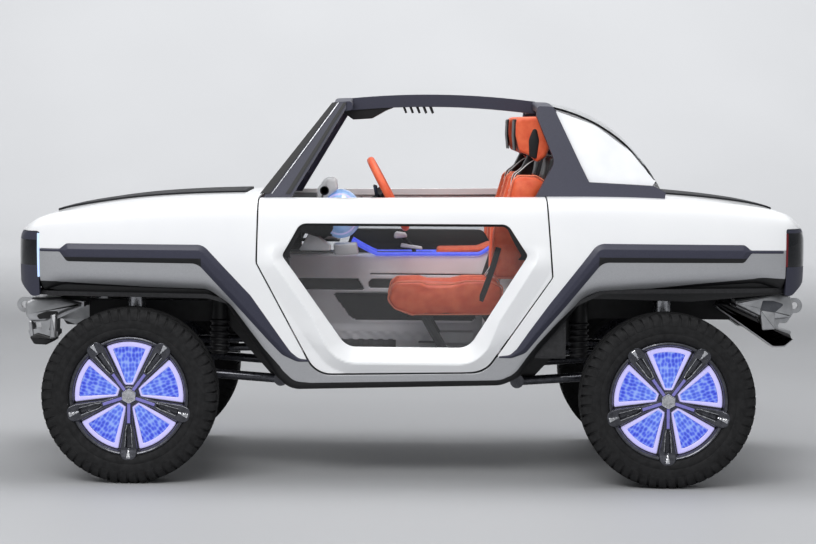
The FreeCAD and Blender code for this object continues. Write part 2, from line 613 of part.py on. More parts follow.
def make_end_panels():
    front_lamps = lamp_block(before_nose, size.fascia_x, size.lamp_height, size.lamp_half_height)
    rear_lamps = lamp_block(size.tail_fascia_x, behind_tail, size.tail_lamp_height,
                            size.tail_lamp_half_height)
    pocket = body_solid(size.lamp_depth)
    front_lamp = skin_shell.common(front_lamps).cut(pocket)
    rear_lamp = skin_shell.common(rear_lamps).cut(pocket)
    nose = skin_shell.common(nose_region.fuse(nose_lip)).cut(hood_hole).cut(front_lamp)
    tail = skin_shell.common(tail_region.fuse(tail_lip)).cut(deck_hole).cut(rear_lamp)
    keep("nose_panel", larger_solids(nose))
    keep("tail_panel", larger_solids(tail))
    keep("head_lamps", larger_solids(front_lamp, pair_share))
    keep("tail_lamps", larger_solids(rear_lamp, pair_share))


def make_hood_and_deck():
    proud = body_solid(-size.hood_proud)
    under = body_solid(size.skin - size.hood_gap)
    shell = proud.cut(under)
    lid = top_prism(hood_corners(size.hood_gap), size.waist_height, size.door_top)
    deck = top_prism(deck_corners(size.seat_gap), size.waist_height, size.door_top)
    keep("hood", larger_solids(shell.common(lid)))
    keep("rear_deck", larger_solids(shell.common(deck)))


def make_mouldings():
    proud = body_solid(-size.strip_proud).cut(outer_body)
    strips = []
    for front in (True, False):
        strip = side_prism(moulding_corners(front), -wide, 0)
        strips.append(larger_solids(proud.common(strip), pair_share))
    left = Part.makeCompound([solid for strip in strips for solid in strip.Solids])
    keep("side_mouldings", both_sides(left))


def make_doors():
    leaf = outer_body.cut(body_solid(size.door_wall))
    reach = block(size.door_kink_x - size.overrun, size.door_rear_kink_x + size.overrun, -wide,
                  -cockpit_half_width - size.door_gap, 0, size.door_top)
    leaf = leaf.common(side_prism(door_corners(size.door_gap), -wide, 0)).common(reach)
    window = side_prism(window_corners(), -wide, 0)
    bevel = side_prism(window_corners(size.bevel_width), -wide, 0).cut(body_solid(size.bevel_depth))
    leaf = larger_solids(leaf.cut(window).cut(bevel))
    pane = body_solid(size.glass_inset).cut(body_solid(size.glass_inset + size.glass_thickness))
    pane = larger_solids(pane.common(window))
    keep("door_left", leaf)
    keep("door_right", mirrored(leaf))
    keep("door_glass_left", pane)
    keep("door_glass_right", mirrored(pane))


# Cab tub: trays, floor, firewall, rear wall and the four posts as one pressing

def make_tub():
    wall = size.tub_wall
    top_line = [
        (size.tray_front_x, size.tray_front_height),
        (size.front_arch_top_x, size.tray_front_height - size.tray_front_fall),
        (size.toe_x, size.toe_height), (size.floor_front_x, size.floor_height),
        (size.floor_rear_x, size.floor_height), (size.rear_toe_x, size.rear_toe_height),
        (size.rear_arch_top_x + size.tray_rear_bend, size.tray_rear_height - size.tray_rear_fall),
        (size.tray_rear_x, size.tray_rear_height),
    ]
    under_line = [(x, z - wall) for x, z in reversed(top_line)]
    floor = side_prism(top_line + under_line, -size.body_half_width, size.body_half_width)
    post_y = size.post_gap - cockpit_half_width
    bulkhead_back = size.bulkhead_x + size.firewall_wall
    firewall = block(size.firewall_x - size.firewall_wall, size.firewall_x, post_y, -post_y,
                     size.toe_height - wall / 2, size.wall_top)
    bulkhead = block(size.bulkhead_x, bulkhead_back, post_y, -post_y, size.bulkhead_low, size.wall_top)
    shelf = block(size.bulkhead_x, size.cockpit_rear_x, -shelf_inset, shelf_inset, size.wall_top - wall,
                  size.wall_top)
    front_post = block(size.post_front_x - size.firewall_overlap, size.post_front_x + size.post_depth,
                       post_y, post_y + size.post_width, size.front_post_low, size.cowl_height)
    rear_post = block(size.rear_post_x, bulkhead_back, post_y, post_y + size.post_width,
                      size.floor_height - wall / 2, size.cowl_height)
    tub = joined([floor, firewall, bulkhead, shelf, front_post, mirrored(front_post), rear_post,
                  mirrored(rear_post)])
    tub = tub.common(body_solid(size.skin + size.seat_gap))
    doorway = door_hole.cut(body_solid(size.door_wall + size.door_gap))
    keep("cab_tub", larger_solids(tub.cut(doorway)))


# Screen, roof and hoop

header_bow_share = 0.3


def lean_y(height, base_y, base_height, top_y, top_height):
    return base_y + (top_y - base_y) * (height - base_height) / (top_height - base_height)


def leaning_panel(corners, thickness, setback=0.0):
    """A side panel of the hoop: its plane leans in with height; thickness runs inboard."""
    def place(x, z):
        return Vector(x, -lean_y(z, pillar_base_y, size.cowl_height, pillar_top_y,
                                 size.header_height) + setback, z)
    return Part.Face(rounded_wire(corners, place)).extrude(Vector(0, thickness, 0))


def make_screen():
    base_height = size.cowl_height - size.skin - size.seat_gap
    pillar = leaning_panel([
        (size.pillar_base_front_x, base_height), (size.pillar_base_rear_x, base_height),
        (size.pillar_top_rear_x, size.header_height - size.header_thickness / 2),
        (size.pillar_top_rear_x, size.header_height),
        (size.pillar_top_front_x, size.header_height, size.pillar_round)], size.pillar_width)
    sections = []
    for share in (-1.0, 0.0, 1.0):
        crown = size.header_crown * (1 - share * share)
        y = share * (pillar_top_y - size.header_inset)
        x = size.pillar_top_front_x - crown * header_bow_share
        low = size.header_height - size.header_thickness
        corners = [(x, low + crown), (x + size.header_nose, size.header_height + crown, size.header_round),
                   (x + size.header_depth, size.header_height + crown + size.header_inset,
                    size.header_round),
                   (x + size.header_depth + size.header_tail, low + crown + size.header_tail_lift,
                    size.header_round)]
        sections.append(rounded_wire(corners, lambda a, b: Vector(a, y, b)))
    header = Part.makeLoft(sections, True, False)
    frame = joined([pillar, mirrored(pillar), header])
    for name in ("fender_left", "fender_right", "cab_tub"):
        frame = frame.cut(parts[name].Shape)
    keep("windscreen_frame", larger_solids(frame))


def make_screen_glass():
    """A pane between the pillars, bowed forward in the middle, seated on the cowl and under the header."""
    inner_base = pillar_base_y - size.pillar_width - size.seat_gap
    inner_top = pillar_top_y - size.pillar_width - size.seat_gap
    wires = []
    for x, half, z, bow in (
            (size.pillar_base_front_x + size.glass_setback, inner_base, size.cowl_height - size.glass_foot,
             size.screen_bow),
            (size.pillar_top_front_x + size.glass_setback, inner_top, size.header_height,
             size.screen_bow * header_bow_share)):
        outer = Part.Arc(Vector(x, -half, z), Vector(x - bow, 0, z), Vector(x, half, z)).toShape()
        back = x + size.glass_wall
        inner = Part.Arc(Vector(back, half, z), Vector(back - bow, 0, z), Vector(back, -half, z)).toShape()
        ends = [Part.LineSegment(Vector(x, half, z), Vector(back, half, z)).toShape(),
                Part.LineSegment(Vector(back, -half, z), Vector(x, -half, z)).toShape()]
        wires.append(Part.Wire([outer, ends[0], inner, ends[1]]))
    pane = Part.makeLoft(wires, True, True)
    for name in ("windscreen_frame", "cowl_panel", "fender_left", "fender_right", "cab_tub", "hood"):
        pane = pane.cut(parts[name].Shape)
    pane = pane.cut(outer_body)
    keep("windscreen_glass", larger_solids(pane))


def roof_profile(front_x, rear_x, thickness):
    """The bar's side view: an arched top and a parallel underside."""
    front_top = size.header_height + size.header_crown
    rear_top = size.hoop_height + size.header_crown + size.roof_rear_rise
    middle = (front_x + rear_x) / 2
    roof_height = (front_top + rear_top) / 2 + size.roof_rise
    top = Part.Arc(Vector(front_x, 0, front_top), Vector(middle, 0, roof_height),
                   Vector(rear_x, 0, rear_top))
    low = Part.Arc(Vector(rear_x, 0, rear_top - thickness), Vector(middle, 0, roof_height - thickness),
                   Vector(front_x, 0, front_top - thickness))
    ends = [Part.LineSegment(top.EndPoint, low.StartPoint), Part.LineSegment(low.EndPoint, top.StartPoint)]
    return Part.Wire([top.toShape(), ends[0].toShape(), low.toShape(), ends[1].toShape()])


def make_roof():
    front_x = size.pillar_top_front_x + size.header_depth - size.roof_overlap
    rear_x = size.hoop_front_x + size.roof_overlap
    profile = roof_profile(front_x, rear_x, size.bar_thickness)
    profile.translate(Vector(0, -size.bar_half_width, 0))
    bar = Part.Face(profile).extrude(Vector(0, size.bar_half_width * 2, 0))
    bar = bar.cut(parts["windscreen_frame"].Shape).cut(parts["rear_hoop"].Shape)
    keep("roof_bar", larger_solids(bar))


def hoop_corners():
    base = size.cowl_height - size.skin - size.seat_gap
    return [
        (size.hoop_front_x, size.hoop_height - size.hoop_beam_depth, size.band_fall),
        (size.hoop_kink_x, size.hoop_kink_height, size.hoop_kink_round),
        (size.hoop_base_x, base), (size.rear_post_x + size.hoop_foot, base),
        (size.band_rear_x, base), (size.band_rear_x + size.band_step, size.deck_height + size.header_inset),
        (size.panel_rear_x + size.header_inset, size.band_height - size.band_fall),
        (size.panel_front_x, size.band_height, size.panel_round),
        (size.hoop_rear_x, size.hoop_height, size.hoop_round),
        (size.hoop_front_x + size.header_inset, size.hoop_height + size.beam_inset, size.panel_round),
    ]


def make_hoop():
    side = leaning_panel(hoop_corners(), size.hoop_thickness)
    sections = []
    for share in (-1.0, 0.0, 1.0):
        crown = (size.header_crown + size.roof_rear_rise) * (1 - share * share)
        y = share * (pillar_top_y - size.beam_inset)
        low = size.hoop_height - size.hoop_beam_depth + crown
        top = size.hoop_height + crown
        corners = [(size.hoop_front_x + size.band_step, low, size.band_step),
                   (size.hoop_front_x, top, size.header_round),
                   (size.hoop_rear_x, top - size.beam_inset, size.header_round),
                   (size.hoop_rear_x + size.beam_tail, low + size.beam_tail_lift, size.band_step)]
        sections.append(rounded_wire(corners, lambda a, b: Vector(a, y, b)))
    beam = Part.makeLoft(sections, True, False)
    hoop = joined([side, mirrored(side), beam])
    keep("rear_hoop", larger_solids(hoop.cut(outer_body.cut(cockpit)).cut(parts["cab_tub"].Shape)))


def rear_arc_point(share, drop):
    """A point of the rear screen's side view, from the hoop (0) to the deck (1)."""
    start = Vector(size.hoop_rear_x, 0, size.hoop_height + size.header_crown)
    end = Vector(size.screen_rear_low_x, 0, size.deck_seat_height)
    chord = end - start
    normal = Vector(-chord.z, 0, chord.x)
    normal.normalize()
    bulge = 4 * share * (1 - share) * (size.screen_rear_rise - drop)
    return start + chord * share + normal * bulge - Vector(0, 0, drop)


quarter_arc_shares = (0.3, 0.6, 0.85)
screen_arc_shares = (0.0, 0.25, 0.5, 0.75, 1.0)
screen_side_shares = (-1.0, -0.5, 0.0, 0.5, 1.0)


def make_quarter_panels():
    """The translucent white panels that fill the buttresses."""
    top = [rear_arc_point(share, size.arc_drop) for share in quarter_arc_shares]
    corners = [(size.hoop_rear_x + size.panel_gap, size.hoop_height - size.beam_tail_lift),
               (size.panel_front_x + size.panel_gap, size.band_height + size.panel_gap),
               (size.panel_rear_x, size.band_height - size.panel_fall),
               (size.panel_rear_x + size.pillar_round, size.band_height + size.band_fall, size.panel_round)]
    corners += [(point.x, point.z, size.arc_round) for point in reversed(top)]
    panel = leaning_panel(corners, size.quarter_thickness, size.hoop_thickness / 3)
    panel = larger_solids(panel.cut(parts["rear_hoop"].Shape).cut(outer_body))
    keep("quarter_windows", both_sides(panel))


def make_rear_window():
    """The curved rear screen, from the hoop's top down to the deck, inside the quarter panels."""
    inset = size.hoop_thickness / 3 + size.quarter_thickness + size.seat_gap
    curves = []
    for side in screen_side_shares:
        crown = size.header_crown * side * side
        points = []
        for share in screen_arc_shares:
            point = rear_arc_point(share, crown)
            lean = lean_y(point.z, pillar_base_y, size.cowl_height, pillar_top_y,
                          size.header_height)
            points.append(Vector(point.x, side * (lean - inset), point.z))
        curve = Part.BSplineCurve()
        curve.interpolate(points)
        curves.append(Part.Wire([curve.toShape()]))
    skin = Part.makeLoft(curves, False, False)
    pane = skin.Faces[0].extrude(Vector(-size.rear_glass_wall / 2, 0, -size.rear_glass_wall))
    for name in ("rear_hoop", "quarter_windows"):
        pane = pane.cut(parts[name].Shape)
    keep("rear_window", larger_solids(pane.cut(outer_body)))


# Interior

def make_dashboard():
    corners = [
        (size.dash_front_x, size.dash_top - size.dash_front_low),
        (size.dash_front_x, size.dash_nose, size.dash_round),
        (size.dash_rear_x - size.dash_front_low, size.dash_low, size.dash_round),
        (size.dash_rear_x, size.dash_low + size.dash_lip, size.dash_round),
        (size.dash_rear_x, size.dash_top - size.dash_brow_low, size.dash_tail_round),
        (size.dash_rear_x - size.dash_brow, size.dash_top, size.dash_tail_round),
        (size.dash_front_x + size.dash_lip * 2, size.dash_top, size.dash_round),
    ]
    half = cockpit_half_width - size.dash_gap
    dash = side_prism(corners, -half, half)
    angle = math.radians(size.column_angle)
    along = Vector(-math.cos(angle), 0, -math.sin(angle))
    centre = Vector(size.steer_wheel_x, -seat_y, size.steer_wheel_height)
    start = centre + along * (size.boss_depth + size.seat_gap)
    column = rod(start, start + along * size.column_length, size.column_radius)
    shroud = rod(start + along * size.shroud_gap, start + along * size.column_length, size.column_radius * 2)
    struts = [block(size.firewall_x, size.dash_front_x + size.dash_lip, side - size.dash_strut_half,
                    side + size.dash_strut_half, size.dash_nose, size.dash_nose + size.dash_strut_depth)
              for side in (-seat_y, seat_y)]
    dash = joined([dash, column, shroud] + struts)
    for name in ("windscreen_frame", "cab_tub", "windscreen_glass"):
        dash = dash.cut(parts[name].Shape)
    keep("dashboard", larger_solids(dash))


def make_pod():
    """A lit dome on the steering column, its axis square to the column."""
    centre = Vector(size.pod_x, -seat_y, size.pod_height)
    pod = Part.makeSphere(size.pod_radius, centre, Vector(0, 1, 0))
    pod = pod.cut(parts["dashboard"].Shape).cut(parts["steering_wheel"].Shape)
    keep("instrument_pod", larger_solids(pod))


def make_console():
    rise_top = size.console_top + size.console_rise
    corners = [
        (size.console_front_x, size.floor_height),
        (size.console_front_x, size.console_top, size.console_round),
        (size.console_rise_x, size.console_top),
        (size.console_rear_x - size.console_tail, rise_top, size.console_tail_round),
        (size.console_rear_x, rise_top - size.console_tail_fall, size.console_tail_round),
        (size.console_rear_x, size.floor_height),
    ]
    half = size.console_half_width
    console = side_prism(corners, -half, half)
    console = larger_solids(console.cut(parts["cab_tub"].Shape))
    keep("centre_console", console)
    points = [(size.rail_front_x, size.rail_end_height), (size.rail_bend_x, size.rail_height),
              (size.console_rise_x, size.rail_height),
              (size.rail_tail_x, size.rail_end_height + size.rail_tail_rise)]
    runs = []
    for first, last in zip(points, points[1:]):
        start = Vector(first[0], -half - size.rail_radius, first[1])
        end = Vector(last[0], -half - size.rail_radius, last[1])
        runs.append(rod(start, end, size.rail_radius))
        runs.append(Part.makeSphere(size.rail_radius, end))
    foot = block(size.rail_bend_x, size.console_rise_x, -half - size.rail_radius, -half,
                 size.rail_height - size.rail_foot_low, size.rail_height - size.rail_foot_top)
    rail = joined(runs + [foot]).cut(console)
    keep("console_lights", both_sides(larger_solids(rail)))


back_top_share = 0.8


def make_seat(side):
    y = side * seat_y
    half = seat_width / 2
    nose_x = size.cushion_front_x + size.cushion_nose_round
    cushion = side_prism([
        (size.cushion_front_x, size.cushion_low + size.cushion_nose, size.cushion_nose_round),
        (nose_x, size.cushion_top, size.cushion_nose_round),
        (size.back_low_x + size.seat_tie_inset, size.cushion_top - size.cushion_fall),
        (size.cushion_rear_x, size.cushion_top - size.cushion_tail_fall),
        (size.cushion_rear_x, size.cushion_low, size.cushion_heel),
        (size.cushion_front_x + size.cushion_heel, size.cushion_low, size.cushion_heel)], y - half, y + half)
    back = side_prism([
        (size.back_low_x, size.back_low, size.back_round / 2),
        (size.back_top_x, size.back_top, size.back_round),
        (size.back_top_x + size.back_thickness * back_top_share, size.back_top, size.back_round),
        (size.back_low_x + size.back_thickness, size.back_low, size.back_round / 2)], y - half, y + half)
    rest_half = size.headrest_width / 2
    front = size.headrest_front_x + size.headrest_lean
    rear = front + size.headrest_depth
    headrest = side_prism([
        (front, size.headrest_low, size.headrest_round),
        (front + size.headrest_lean, size.headrest_top, size.headrest_round),
        (rear, size.headrest_top, size.headrest_round), (rear, size.headrest_low, size.headrest_round / 2)],
        y - rest_half, y + rest_half)
    neck = block(front + size.neck_front, front + size.neck_front + size.neck_depth, y - size.neck_half,
                 y + size.neck_half, size.back_top - size.neck_overlap,
                 size.headrest_low + size.neck_overlap)
    tie = block(size.back_low_x + size.seat_tie_inset, size.cushion_rear_x - size.headrest_lean,
                y - size.seat_tie_half, y + size.seat_tie_half, size.cushion_top - size.seat_tie_low,
                size.back_low + size.seat_tie_top)
    back = joined([back, headrest, neck])
    return joined([back, cushion.cut(back), tie])


def make_seats():
    for side, name in ((-1, "seat_left"), (1, "seat_right")):
        keep(name, make_seat(side))


def make_seat_frames():
    frames = []
    for side in (-1, 1):
        middle = side * seat_y
        for y in (middle - size.leg_spread, middle + size.leg_spread - size.leg_width):
            bars = []
            for x in (size.leg_front_x, size.leg_rear_x):
                low_x = x + size.leg_lean
                leg = side_prism([(x, size.cushion_low), (x + size.leg_depth, size.cushion_low),
                                  (low_x + size.leg_depth, size.floor_height),
                                  (low_x, size.floor_height)], y, y + size.leg_width)
                bars.append(leg)
            foot = block(size.leg_front_x, size.leg_rear_x + size.leg_lean + size.rail_overhang, y,
                         y + size.leg_width, size.floor_height, size.floor_height + size.foot_depth)
            rail = block(size.leg_front_x - size.rail_overhang, size.leg_rear_x + size.rail_overhang, y,
                         y + size.leg_width, size.cushion_low - size.seat_rail_depth, size.cushion_low)
            frames.append(joined(bars + [foot, rail]).cut(parts["cab_tub"].Shape))
    keep("seat_frames", Part.makeCompound(frames))


def make_steering_wheel():
    rim = doc.addObject("Part::Torus", "steering_rim")
    bind(rim, Radius1="Sizes.steer_wheel_radius - Sizes.steer_rim_radius", Radius2="Sizes.steer_rim_radius")
    boss = doc.addObject("Part::Cylinder", "steering_boss")
    bind(boss, Radius="Sizes.boss_radius", Height="Sizes.boss_depth")
    bind(boss, Placement__Base__z="-Sizes.boss_depth")
    spokes = []
    for turn in (90, 210, 330):
        spoke = doc.addObject("Part::Cylinder", "steering_spoke_%d" % turn)
        heading = Rotation(Vector(0, 0, 1), turn).multiply(Rotation(Vector(0, 1, 0), 90))
        spoke.Placement = Placement(Vector(0, 0, 0), heading)
        bind(spoke, Radius="Sizes.spoke_bar_radius",
             Height="Sizes.steer_wheel_radius - Sizes.steer_rim_radius - Sizes.boss_radius / 2",
             Placement__Base__x="cos(%d) * Sizes.boss_radius / 2" % turn,
             Placement__Base__y="sin(%d) * Sizes.boss_radius / 2" % turn,
             Placement__Base__z="-Sizes.spoke_bar_radius / 2")
        spokes.append(spoke)
    wheel = doc.addObject("Part::MultiFuse", "steering_wheel_fuse")
    wheel.Shapes = [rim, boss] + spokes
    adopt("steering_wheel", wheel)
    tilt = Rotation(Vector(0, 1, 0), 90 - size.column_angle)
    wheel.Placement = Placement(Vector(size.steer_wheel_x, -seat_y, size.steer_wheel_height), tilt)


# Chassis

cross_drop_share = 0.7
motor_share = 0.8


def make_ladder_frame():
    rails = []
    depth = size.rail_depth
    lift = size.rear_rail_lift
    rear_top = size.end_rail_top + lift
    bend = size.rail_round
    top = [(size.rail_front_end_x, size.end_rail_top), (size.rail_rise_front_x, size.end_rail_top, bend),
           (size.rail_bend_front_x, size.mid_rail_top, bend),
           (size.rail_bend_rear_x, size.mid_rail_top, bend),
           (size.rail_rise_rear_x, rear_top, bend), (size.rail_rear_end_x, rear_top)]
    low = [(size.rail_rear_end_x, rear_top - depth),
           (size.rail_rise_rear_x + depth / 2, rear_top - depth, bend),
           (size.rail_bend_rear_x + depth / 3, size.mid_rail_top - depth, bend),
           (size.rail_bend_front_x - depth / 3, size.mid_rail_top - depth, bend),
           (size.rail_rise_front_x - depth / 2, size.end_rail_top - depth, bend),
           (size.rail_front_end_x, size.end_rail_top - depth)]
    for side in (-1, 1):
        y = side * (size.rail_y + size.rail_width / 2)
        rails.append(side_prism(top + low, y - size.rail_width / 2, y + size.rail_width / 2))
    reach = size.rail_y + size.rail_width / 2
    cross_drop = depth * cross_drop_share
    cross_places = [(size.rail_front_end_x + size.cross_inset, size.end_rail_top - depth / 2),
                    (size.rail_rise_front_x, size.end_rail_top - cross_drop),
                    (size.rail_bend_front_x + size.front_cross_inset, size.mid_rail_top - depth / 2),
                    (size.rail_bend_rear_x - size.rear_cross_inset, size.mid_rail_top - depth / 2),
                    (size.rail_rise_rear_x, rear_top - cross_drop),
                    (size.rail_rear_end_x - size.cross_inset, rear_top - depth / 2)]
    crosses = [rod(Vector(x, -reach, z), Vector(x, reach, z), size.cross_radius) for x, z in cross_places]
    brackets = []
    inner = size.upper_link_y + size.eye_width / 2 + size.seat_gap
    for axle, inward, lift in end_places():
        x = from_axle(size.upper_link_frame_x, axle, inward)
        for side in (-1, 1):
            brackets.append(block(x - size.eye_radius, x + size.eye_radius, side * inner,
                                  side * (size.rail_y + size.rail_width / 2),
                                  size.upper_link_frame_height - size.eye_radius,
                                  size.upper_link_frame_height + size.eye_radius / 2))
    return joined(rails + crosses + brackets)


def make_battery():
    pack = doc.addObject("Part::Box", "battery_box")
    bind(pack, Length="Sizes.battery_length", Width="2 * Sizes.rail_y - 2 * Sizes.seat_gap",
         Height="Sizes.battery_depth", Placement__Base__x="Sizes.battery_x - Sizes.battery_length / 2",
         Placement__Base__y="Sizes.seat_gap - Sizes.rail_y",
         Placement__Base__z="Sizes.mid_rail_top - Sizes.battery_depth")
    adopt("battery_pack", pack)


def end_places():
    """(axle x, direction towards the cab, height lift) of the front and rear ends."""
    return ((size.front_axle_x, 1, 0.0), (rear_axle_x, -1, size.rear_rail_lift))


def from_axle(x, axle, inward):
    """A front-end place measured from the front axle, carried to either end."""
    return axle + inward * (x - size.front_axle_x)


def hub_face_y():
    """How far out the axle's end stands: just short of the hub's back."""
    return wheel_y + wheel_face - size.rim_dish - size.hub_depth - size.seat_gap


def axle_pads(axle, side):
    """The pads on a beam axle that carry the links and the strut."""
    pads = []
    half = size.eye_width / 2
    for y, top in ((side * lower_link_y, size.lower_link_axle_height),
                   (side * size.upper_link_y, size.upper_link_axle_height)):
        pads.append(block(axle - size.pad_half, axle + size.pad_half, y - half, y + half, axle_height,
                          top - size.eye_radius))
    seat = Vector(axle, side * size.strut_y, axle_height)
    pads.append(rod(seat, seat + Vector(0, 0, size.beam_radius + size.strut_pad_rise),
                    size.strut_rod_radius + size.strut_pad_flange))
    return pads


def axle_fork(axle, side):
    """The fork at the front beam's end that holds the knuckle between two ears."""
    pieces = []
    pin = Vector(axle, side * size.kingpin_y, 0)
    web_inner = side * (size.beam_half_length - size.web_width)
    reach = size.knuckle_half_height + size.ear_thickness
    for low in (axle_height - reach - size.seat_gap, axle_height + size.knuckle_half_height + size.seat_gap):
        foot = pin + Vector(0, 0, low)
        pieces.append(rod(foot, foot + Vector(0, 0, size.ear_thickness), size.ear_radius))
        pieces.append(block(axle - size.ear_radius, axle + size.ear_radius, pin.y, web_inner, low,
                            low + size.ear_thickness))
    pieces.append(block(axle - size.ear_radius, axle + size.ear_radius, web_inner,
                        side * size.beam_half_length, axle_height - reach, axle_height + reach))
    return pieces


def across(x, half, z, radius):
    """A round bar square across the vehicle, its middle on the centre line."""
    return rod(Vector(x, -half, z), Vector(x, half, z), radius)


def make_axles():
    beams = []
    for axle, inward, lift in end_places():
        front = inward > 0
        half = size.beam_half_length if front else hub_face_y()
        pieces = [across(axle, half, axle_height, size.beam_radius),
                  across(axle, size.diff_length / 2, axle_height, size.diff_radius),
                  across(axle + inward * size.motor_reach, size.diff_length / 3,
                         axle_height + size.motor_lift, size.diff_radius * motor_share)]
        for side in (-1, 1):
            pieces += axle_pads(axle, side)
            if front:
                pieces += axle_fork(axle, side)
        beams.append(joined(pieces))
    keep("drive_axles", Part.makeCompound(beams))


def link(start, end, radius, eye_radius, eye_width):
    """A suspension link: a tube with a cross eye at each end."""
    tube = rod(start, end, radius)
    eyes = [rod(point - Vector(0, eye_width / 2, 0), point + Vector(0, eye_width / 2, 0), eye_radius)
            for point in (start, end)]
    return joined([tube] + eyes)


def make_links():
    links = []
    for axle, inward, lift in end_places():
        for side in (-1, 1):
            y = side * lower_link_y
            far_x = from_axle(size.lower_link_frame_x, axle, inward)
            links.append(link(Vector(axle, y, size.lower_link_axle_height),
                              Vector(far_x, y, size.lower_link_frame_height),
                              size.lower_link_radius, size.eye_radius, size.eye_width))
            y = side * size.upper_link_y
            far_x = from_axle(size.upper_link_frame_x, axle, inward)
            links.append(link(Vector(axle, y, size.upper_link_axle_height),
                              Vector(far_x, y, size.upper_link_frame_height),
                              size.upper_link_radius, size.eye_radius, size.eye_width))
    frame = parts["ladder_frame"].Shape
    axles = parts["drive_axles"].Shape
    links = [larger_solids(one.cut(frame).cut(axles)) for one in links]
    keep("suspension_links", Part.makeCompound(links))


def make_struts():
    struts = []
    for axle, inward, lift in end_places():
        for side in (-1, 1):
            y = side * size.strut_y
            low = axle_height + size.beam_radius + size.strut_pad_rise
            top = size.tray_front_height + lift
            split = size.strut_split_height
            struts.append(joined([
                rod(Vector(axle, y, low), Vector(axle, y, split), size.strut_rod_radius),
                rod(Vector(axle, y, split - size.strut_overlap), Vector(axle, y, top), size.strut_radius)]))
    tub = parts["cab_tub"].Shape
    struts = [larger_solids(one.cut(tub), pair_share) for one in struts]
    keep("struts", Part.makeCompound(struts))


def make_springs():
    springs = []
    for axle, inward, lift in end_places():
        for side in (-1, 1):
            x = from_axle(size.spring_x, axle, inward)
            y = side * size.spring_y
            ring_radius = size.spring_radius - size.spring_wire
            top = size.tray_front_height + lift
            core = rod(Vector(x, y, size.spring_low), Vector(x, y, top), ring_radius)
            rings = [Part.makeTorus(ring_radius, size.spring_wire,
                                    Vector(x, y, size.spring_low + size.spring_pitch * (turn + 0.5)))
                     for turn in range(int(size.spring_turns))]
            springs.append(joined([core] + rings))
    tub = parts["cab_tub"].Shape
    springs = [larger_solids(one.cut(tub), pair_share) for one in springs]
    keep("coil_springs", Part.makeCompound(springs))


def make_knuckles():
    for side, name in ((-1, "knuckle_left"), (1, "knuckle_right")):
        pin_y = side * size.kingpin_y
        x = size.front_axle_x
        body = rod(Vector(x, pin_y, axle_height - size.knuckle_half_height),
                   Vector(x, pin_y, axle_height + size.knuckle_half_height), size.knuckle_radius)
        stub = rod(Vector(x, pin_y, axle_height), Vector(x, side * hub_face_y(), axle_height),
                   size.axle_radius)
        arm = block(x, x + size.arm_length, pin_y - size.arm_half, pin_y + size.arm_half,
                    axle_height - size.arm_low, axle_height - size.arm_top)
        keep(name, joined([body, stub, arm]))


# Bumpers

def bumper_shape():
    nose, back = size.pod_nose_x, size.pod_back_x
    pod = side_prism([
        (nose, size.pod_nose_height, size.pod_nose_round),
        (nose + size.pod_brow, size.pod_top - size.pod_brow_fall, size.pod_edge_round),
        (nose + size.pod_flat, size.pod_top, size.pod_top_round),
        (back, size.pod_back_height + size.pod_back_rise),
        (back, size.pod_back_height - size.pod_back_fall),
        (nose + size.pod_belly, size.pod_low + size.pod_belly_rise, size.pod_top_round),
        (nose + size.pod_heel, size.pod_low, size.pod_edge_round)],
        -size.bumper_half_width, size.bumper_half_width)
    fin_nose, fin_back, fin_low = size.fin_nose_x, size.fin_back_x, size.fin_low
    fin_corners = [
        (fin_nose, fin_low + size.fin_rise, size.fin_nose_round),
        (fin_nose + size.fin_chin, fin_low + size.fin_chin_rise, size.fin_chin_round),
        (fin_nose + size.fin_flat, fin_low, size.fin_nose_round),
        (fin_back, fin_low + size.fin_back_rise, size.fin_back_round),
        (fin_back, fin_low + size.fin_back_top), (fin_back - size.fin_heel, fin_low + size.fin_heel_rise)]
    strap_corners = [
        (fin_nose + size.strap_front, fin_low + size.strap_front_rise),
        (fin_back - size.strap_back, fin_low + size.strap_back_rise),
        (fin_back - size.strap_top_back, size.pod_back_height - size.strap_top_fall),
        (fin_nose + size.strap_top_front, size.pod_low + size.strap_top_rise)]
    pieces = [pod]
    outer = size.bumper_half_width + size.bracket_proud
    fin_inner = size.bumper_half_width - size.fin_width
    strap_inner = size.bumper_half_width - size.fin_width / 3
    for side in (-1, 1):
        pieces.append(side_prism(fin_corners, side * outer, side * fin_inner))
        pieces.append(side_prism(strap_corners, side * outer, side * strap_inner))
        pieces.append(block(nose + size.stub_front, size.rail_front_end_x - size.seat_gap,
                            side * size.rail_y, side * (size.rail_y + size.rail_width),
                            size.end_rail_top - size.rail_depth + size.stub_low,
                            size.end_rail_top - size.stub_top))
        eye_x = -size.hook_tip_x + size.hook_radius
        eye_y = side * size.hook_y
        low, high = eye_y - size.hook_thickness / 2, eye_y + size.hook_thickness / 2
        eye = rod(Vector(eye_x, low, size.hook_height), Vector(eye_x, high, size.hook_height),
                  size.hook_radius)
        tongue = block(eye_x, nose + size.tongue_reach, low, high, size.hook_height - size.hook_radius,
                       size.hook_height + size.hook_radius)
        pieces += [eye, tongue]
    solid = joined(pieces)
    for side in (-1, 1):
        eye_x = -size.hook_tip_x + size.hook_radius
        eye_y = side * size.hook_y
        bore = rod(Vector(eye_x, eye_y - size.overrun, size.hook_height),
                   Vector(eye_x, eye_y + size.overrun, size.hook_height), size.hook_bore)
        solid = solid.cut(bore)
    return solid


def make_bumpers():
    front = bumper_shape()
    rear = front.mirror(Vector(0, 0, 0), Vector(1, 0, 0))
    rear.translate(Vector(0, 0, size.rear_rail_lift))
    for name, shape in (("bumper_front", front), ("bumper_rear", rear)):
        keep(name, larger_solids(shape.cut(parts["cab_tub"].Shape).cut(parts["ladder_frame"].Shape)))


# Wheels, modelled about their own centre with the outer face towards -Y

